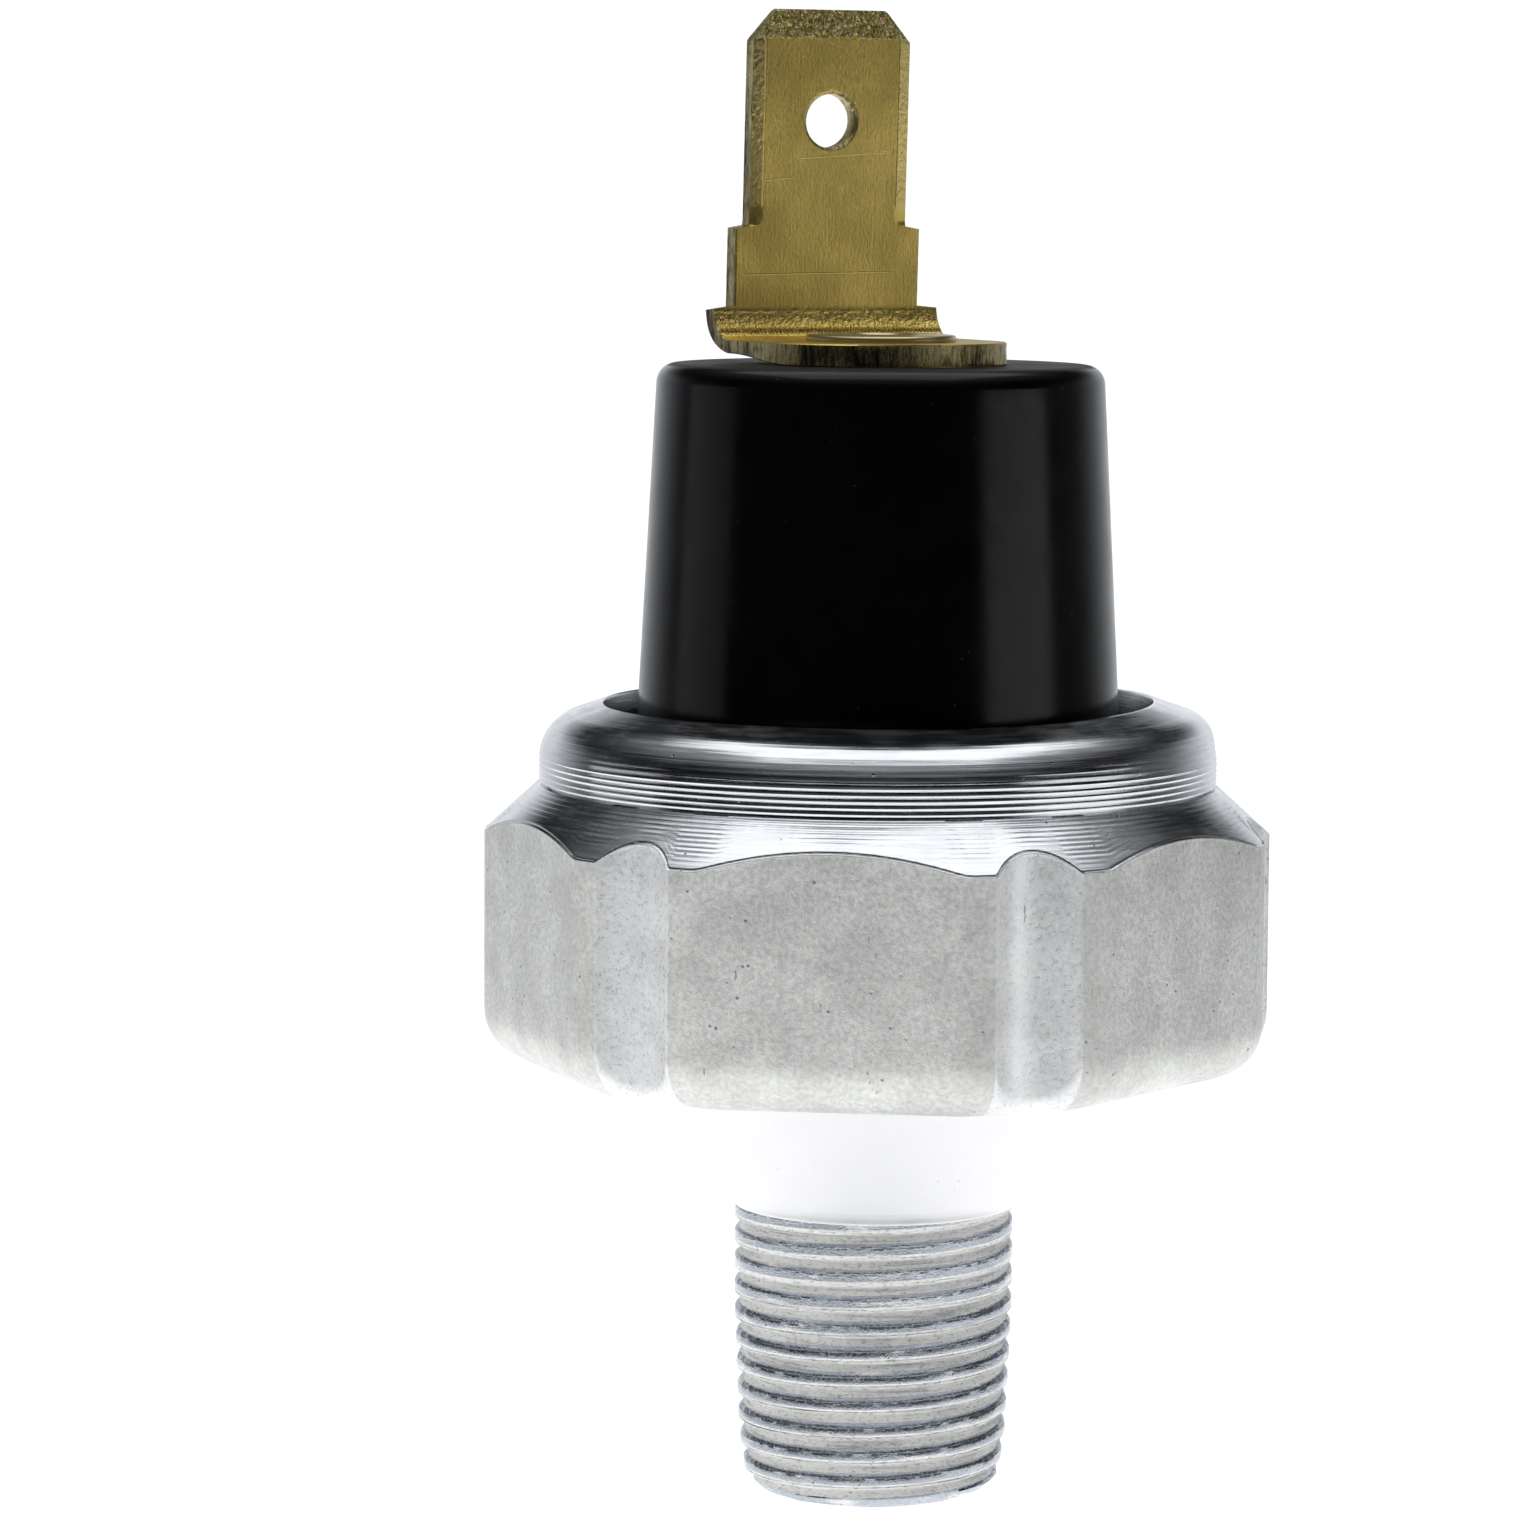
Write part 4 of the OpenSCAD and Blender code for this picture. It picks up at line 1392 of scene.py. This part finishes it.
    def build(self) -> bpy.types.Object:
        """Builds the terminal and returns it."""
        shell = Shell()
        rows: list[list[int]] = []
        slots: list[int] = []
        for run in self.runs():
            section = self.row(run)
            placed = []
            for across, lift, depth, _ in section:
                side = math.copysign(1.0, across)
                width = abs(across)
                if lift < 0:
                    near = ease(run, -1.5, 3.0) * (1 - ease(run, 3.6, 5.4))
                    lift += self.curl * ease(-across, 0.2, 4.6) * near
                inward = self.shear(run, lift, depth, side) if depth else 0.0
                inward = min(inward, width)
                placed.append(self.bent(side * (width - inward), run, lift))
            rows.append(shell.add(placed))
            slots = [slot for *_, slot in section]
        for low, high in zip(rows, rows[1:]):
            count = len(low)
            for i in range(count):
                j = (i + 1) % count
                shell.face((low[i], low[j], high[j], high[i]), slots[i])
        self.close_end(shell, rows[0], 1)
        self.close_end(shell, rows[-1], 1)
        piece = shell.finish("blade_terminal", [SheetBrass(), ShearedBrass()], 38.0)
        self.pierce(piece)
        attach(piece, "root")
        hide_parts("terminal")
        return piece

    def close_end(self, shell: Shell, row: Sequence[int], slot: int) -> None:
        """Closes the sheet's end with a strip between its two sides."""
        side = self.columns + 1 + len(self.sheared)
        front = list(row[: self.columns + 1])
        back = list(row[side : side + self.columns + 1])[::-1]
        for i in range(self.columns):
            shell.face((front[i], front[i + 1], back[i + 1], back[i]), slot)
        right = list(row[self.columns : side + 1])
        left = list(row[side + self.columns :]) + [row[0]]
        shell.face(right, slot)
        shell.face(left, slot)

    def pierce(self, piece: bpy.types.Object) -> None:
        """Cuts the plug's latch hole, with its coined rim, and the rivet's hole."""
        for name, radius, rim, run in (
            ("latch", self.hole_r, 0.12, self.end - self.hole_drop),
            ("rivet", self.rivet_r, 0.0, 0.0),
        ):
            cutter = self.cutter(name, radius, rim, run)
            cut = piece.modifiers.new(name, "BOOLEAN")
            cut.operation = "DIFFERENCE"
            cut.solver = "EXACT"
            cut.object = cutter
            bpy.context.view_layer.update()
            graph = bpy.context.evaluated_depsgraph_get()
            pierced = bpy.data.meshes.new_from_object(piece.evaluated_get(graph))
            piece.modifiers.clear()
            piece.data = pierced
            bpy.data.objects.remove(cutter)
        piece.data.set_sharp_from_angle(angle=math.radians(38.0))

    def cutter(self, name: str, radius: float, rim: float, run: float) -> bpy.types.Object:
        """Spool that cuts one hole.

        Args:
            name: Its name.
            radius: Radius of the hole.
            rim: Width of the coined dish round the hole.
            run: Distance along the sheet of the hole's centre.

        Returns:
            The cutting object, placed across the sheet.
        """
        half = self.thick / 2
        dish = 0.05 if rim else 0.0
        section: Profile = [(0.0, -1.0), (radius + rim * 1.6, -1.0), (radius + rim, -half)]
        section += [(radius + 0.03, -half + dish), (radius, -half + dish + 0.06)]
        section += [(radius, half - dish - 0.06), (radius + 0.03, half - dish)]
        section += [(radius + rim, half), (radius + rim * 1.6, 1.0), (0.0, 1.0)]
        shell = Shell()
        shell.turned(section, 96, lambda start: 0)
        cutter = shell.finish(f"{name}_cutter", [ShearedBrass()])
        foot = self.bent(0.0, run, 0.0)
        tip = self.bent(0.0, run, 1.0)
        axis = (Vector(tip) - Vector(foot)).normalized()
        turn = axis.to_track_quat("Z", "Y").to_matrix().to_4x4()
        cutter.matrix_world = Matrix.Translation(Vector(foot) * MM) @ turn
        return cutter


# ---------------------------------------------------------------- pieces inside


@dataclass
class InsideWorks:
    """The pieces inside keep their frame shape. Each gets the finish of what it is made of."""

    stock: dict[str, Stock]

    def dress(self) -> None:
        """Gives every piece its finish."""
        for node, stock in self.stock.items():
            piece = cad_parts[node]
            for slot in piece.material_slots:
                slot.material = stock.value.material()
            log.info("dressed %s as %s", node, stock.name.lower())


def inside_works() -> InsideWorks:
    """The pieces inside and their finishes."""
    return InsideWorks({
        "diaphragm_o_ring": Stock.RUBBER,
        "rivet_seal": Stock.RUBBER,
        "lip_gasket": Stock.RUBBER,
        "diaphragm_ply_lower": Stock.FILM,
        "diaphragm_ply_upper": Stock.FILM,
        "pressure_plate": Stock.PLATE,
        "guide_plate": Stock.PLATE,
        "spring_seat": Stock.PLATE,
        "inner_washer": Stock.PLATE,
        "push_pin": Stock.PIN,
        "moving_contact": Stock.CONTACT,
        "contact_buttons": Stock.SILVER,
        "fixed_contact_ring": Stock.SILVER,
        "contact_spring": Stock.SPRING,
        "adjusting_screw": Stock.SCREW,
        "base_gasket": Stock.FIBRE,
    })


# ---------------------------------------------------------------- studio


@dataclass
class Eye:
    """The camera: where it stands and how it looks."""

    distance: float = 200.0
    height: float = 47.33
    azimuth: float = 26.264
    pitch: float = 5.991
    yaw: float = -1.129
    roll: float = 0.366
    lens: float = 130.84

    def toward_camera(self) -> Vector:
        """Level direction from the object to the camera."""
        turn = math.radians(self.azimuth)
        return Vector((-math.sin(turn), -math.cos(turn), 0.0))

    def rightward(self) -> Vector:
        """Level direction to the camera's right."""
        turn = math.radians(self.azimuth)
        return Vector((math.cos(turn), -math.sin(turn), 0.0))

    def stand(self, toward: float, right: float, rise: float) -> Vector:
        """Place given by how far it is towards the camera, to its right and up."""
        level = self.toward_camera() * toward + self.rightward() * right
        return level + Vector((0.0, 0.0, rise))

    def build(self) -> bpy.types.Object:
        """Makes the scene's camera and returns it."""
        up = Vector((0.0, 0.0, 1.0))
        level = -self.toward_camera()
        yaw, pitch, roll = (math.radians(v) for v in (self.yaw, self.pitch, self.roll))
        ahead = level * math.cos(yaw) + self.rightward() * math.sin(yaw)
        right = self.rightward() * math.cos(yaw) - level * math.sin(yaw)
        look = ahead * math.cos(pitch) - up * math.sin(pitch)
        top = up * math.cos(pitch) + ahead * math.sin(pitch)
        x_axis = right * math.cos(roll) + top * math.sin(roll)
        y_axis = top * math.cos(roll) - right * math.sin(roll)
        data = bpy.data.cameras.new("eye")
        data.lens = self.lens
        data.sensor_width = 36.0
        data.clip_start = 0.01
        data.clip_end = 20.0
        camera = bpy.data.objects.new("eye", data)
        bpy.context.scene.collection.objects.link(camera)
        turn = Matrix((x_axis, y_axis, -look)).transposed().to_4x4()
        stand = self.toward_camera() * self.distance + up * self.height
        camera.matrix_world = Matrix.Translation(stand * MM) @ turn
        bpy.context.scene.camera = camera
        return camera


class Side(Enum):
    """Which side of the camera's line a lamp stands on."""

    LEFT = -1.0
    RIGHT = 1.0


@dataclass
class Studio:
    """Pale floor, pale surroundings and soft lamps."""

    eye: Eye
    floor_r: float = 0.10
    glow: float = 0.84
    top_size: float = 0.42
    top_height: float = 0.42
    top_radiance: float = 1.0
    fill_radiance: float = 1.7
    strip_far: float = 0.45
    strip_height: float = 0.17
    backdrop: float = 1.12
    dimmest: float = 0.006

    def floor(self) -> bpy.types.Object:
        """Makes the round floor that the switch stands on."""
        mesh = bpy.data.meshes.new("floor")
        draft = bmesh.new()
        bmesh.ops.create_circle(draft, cap_ends=True, segments=96, radius=self.floor_r)
        draft.to_mesh(mesh)
        draft.free()
        piece = bpy.data.objects.new("floor", mesh)
        bpy.context.scene.collection.objects.link(piece)
        piece.location.z = -0.02 * MM
        paint = bpy.data.materials.new("floor_white")
        paint.use_nodes = True
        shader = paint.node_tree.nodes["Principled BSDF"]
        shader.inputs["Base Color"].default_value = (0.90, 0.90, 0.90, 1.0)
        shader.inputs["Roughness"].default_value = 0.9
        shader.inputs["Specular IOR Level"].default_value = 0.0
        shader.inputs["Emission Color"].default_value = (1.0, 1.0, 1.0, 1.0)
        shader.inputs["Emission Strength"].default_value = self.glow
        mesh.materials.append(paint)
        return piece

    def lamp(
        self, name: str, place: Vector, aim: Vector, size: tuple[float, float], radiance: float
    ) -> bpy.types.Object:
        """Makes one soft rectangular lamp.

        Args:
            name: Its name.
            place: Where it stands, in metres.
            aim: What it points at.
            size: Its width and height.
            radiance: How bright its face looks.

        Returns:
            The lamp.
        """
        data = bpy.data.lights.new(name, "AREA")
        data.shape = "RECTANGLE"
        data.size, data.size_y = size
        data.energy = radiance * math.pi * size[0] * size[1]
        lamp = bpy.data.objects.new(name, data)
        bpy.context.scene.collection.objects.link(lamp)
        lamp.location = place
        lamp.rotation_mode = "QUATERNION"
        lamp.rotation_quaternion = (aim - place).to_track_quat("-Z", "Y")
        return lamp

    def strip(self, side: Side, azimuth: float, width: float, radiance: float) -> None:
        """Makes an upright strip lamp.

        Args:
            side: The side it stands on.
            azimuth: Its angle from the camera's line, in degrees.
            width: Its width, in metres.
            radiance: How bright its face looks.
        """
        turn = math.radians(azimuth)
        out = self.eye.stand(math.cos(turn), side.value * math.sin(turn), 0.0)
        size = (width, self.strip_height)
        self.lamp(f"strip_{side.name.lower()}", out * self.strip_far, Vector(), size, radiance)

    def surroundings(self) -> None:
        """Makes the world: dark behind the camera, mid grey behind the object, white in view."""
        world = bpy.data.worlds.new("studio")
        world.use_nodes = True
        bpy.context.scene.world = world
        recipe = Recipe(world.node_tree)
        look = recipe.node("ShaderNodeTexCoord", output="Generated")
        ahead = look.dot(tuple(self.eye.toward_camera()))
        rise = look.part("Z")
        behind = ahead.step(-0.40, -1.08, 0.0, 0.85) * rise.step(0.42, 0.16)
        far = ahead.step(0.15, -0.35, 0.0, 0.10) * rise.step(0.45, 0.15, 0.20, 1.0)
        above = rise.step(0.52, 0.95, 0.0, 0.36)
        front = ahead.step(0.0, 0.8, 0.0, 0.045) * rise.step(0.15, 0.5)
        seen = recipe.node("ShaderNodeLightPath", output="Is Camera Ray")
        lit = behind + far + above + front + self.dimmest
        strength = lit * (1 - seen) + seen * self.backdrop
        shader = world.node_tree.nodes["Background"]
        shader.inputs["Color"].default_value = (0.94, 0.97, 1.0, 1.0)
        world.node_tree.links.new(strength.socket, shader.inputs["Strength"])

    def build(self) -> None:
        """Makes the floor, the lamps and the surroundings."""
        self.floor()
        overhead = self.eye.stand(-0.06, 0.0, self.top_height)
        self.lamp("overhead", overhead, Vector(), (self.top_size, self.top_size), self.top_radiance)
        self.strip(Side.RIGHT, 72.0, 0.31, 1.0)
        self.strip(Side.LEFT, 95.0, 0.27, 0.38)
        aside = self.eye.stand(0.33, -0.38, 0.08)
        fill = self.lamp("fill", aside, Vector((0.0, 0.0, 0.02)), (0.5, 0.35), self.fill_radiance)
        fill.visible_glossy = False
        self.surroundings()
        bpy.context.scene.view_settings.view_transform = "Standard"


# ---------------------------------------------------------------- the whole switch


def main() -> None:
    """Builds every sub-assembly in order and reports each piece."""
    logging.basicConfig(level=logging.INFO, format="%(name)s: %(message)s")
    eye = Eye()
    eye.build()
    Studio(eye).build()
    for maker in (SteelBody(), Insulator(), BladeTerminal(), TerminalRivet()):
        piece = maker.build()
        log.info("built %s with %d faces", piece.name, len(piece.data.polygons))
    inside_works().dress()


if __name__ == "__main__":
    main()
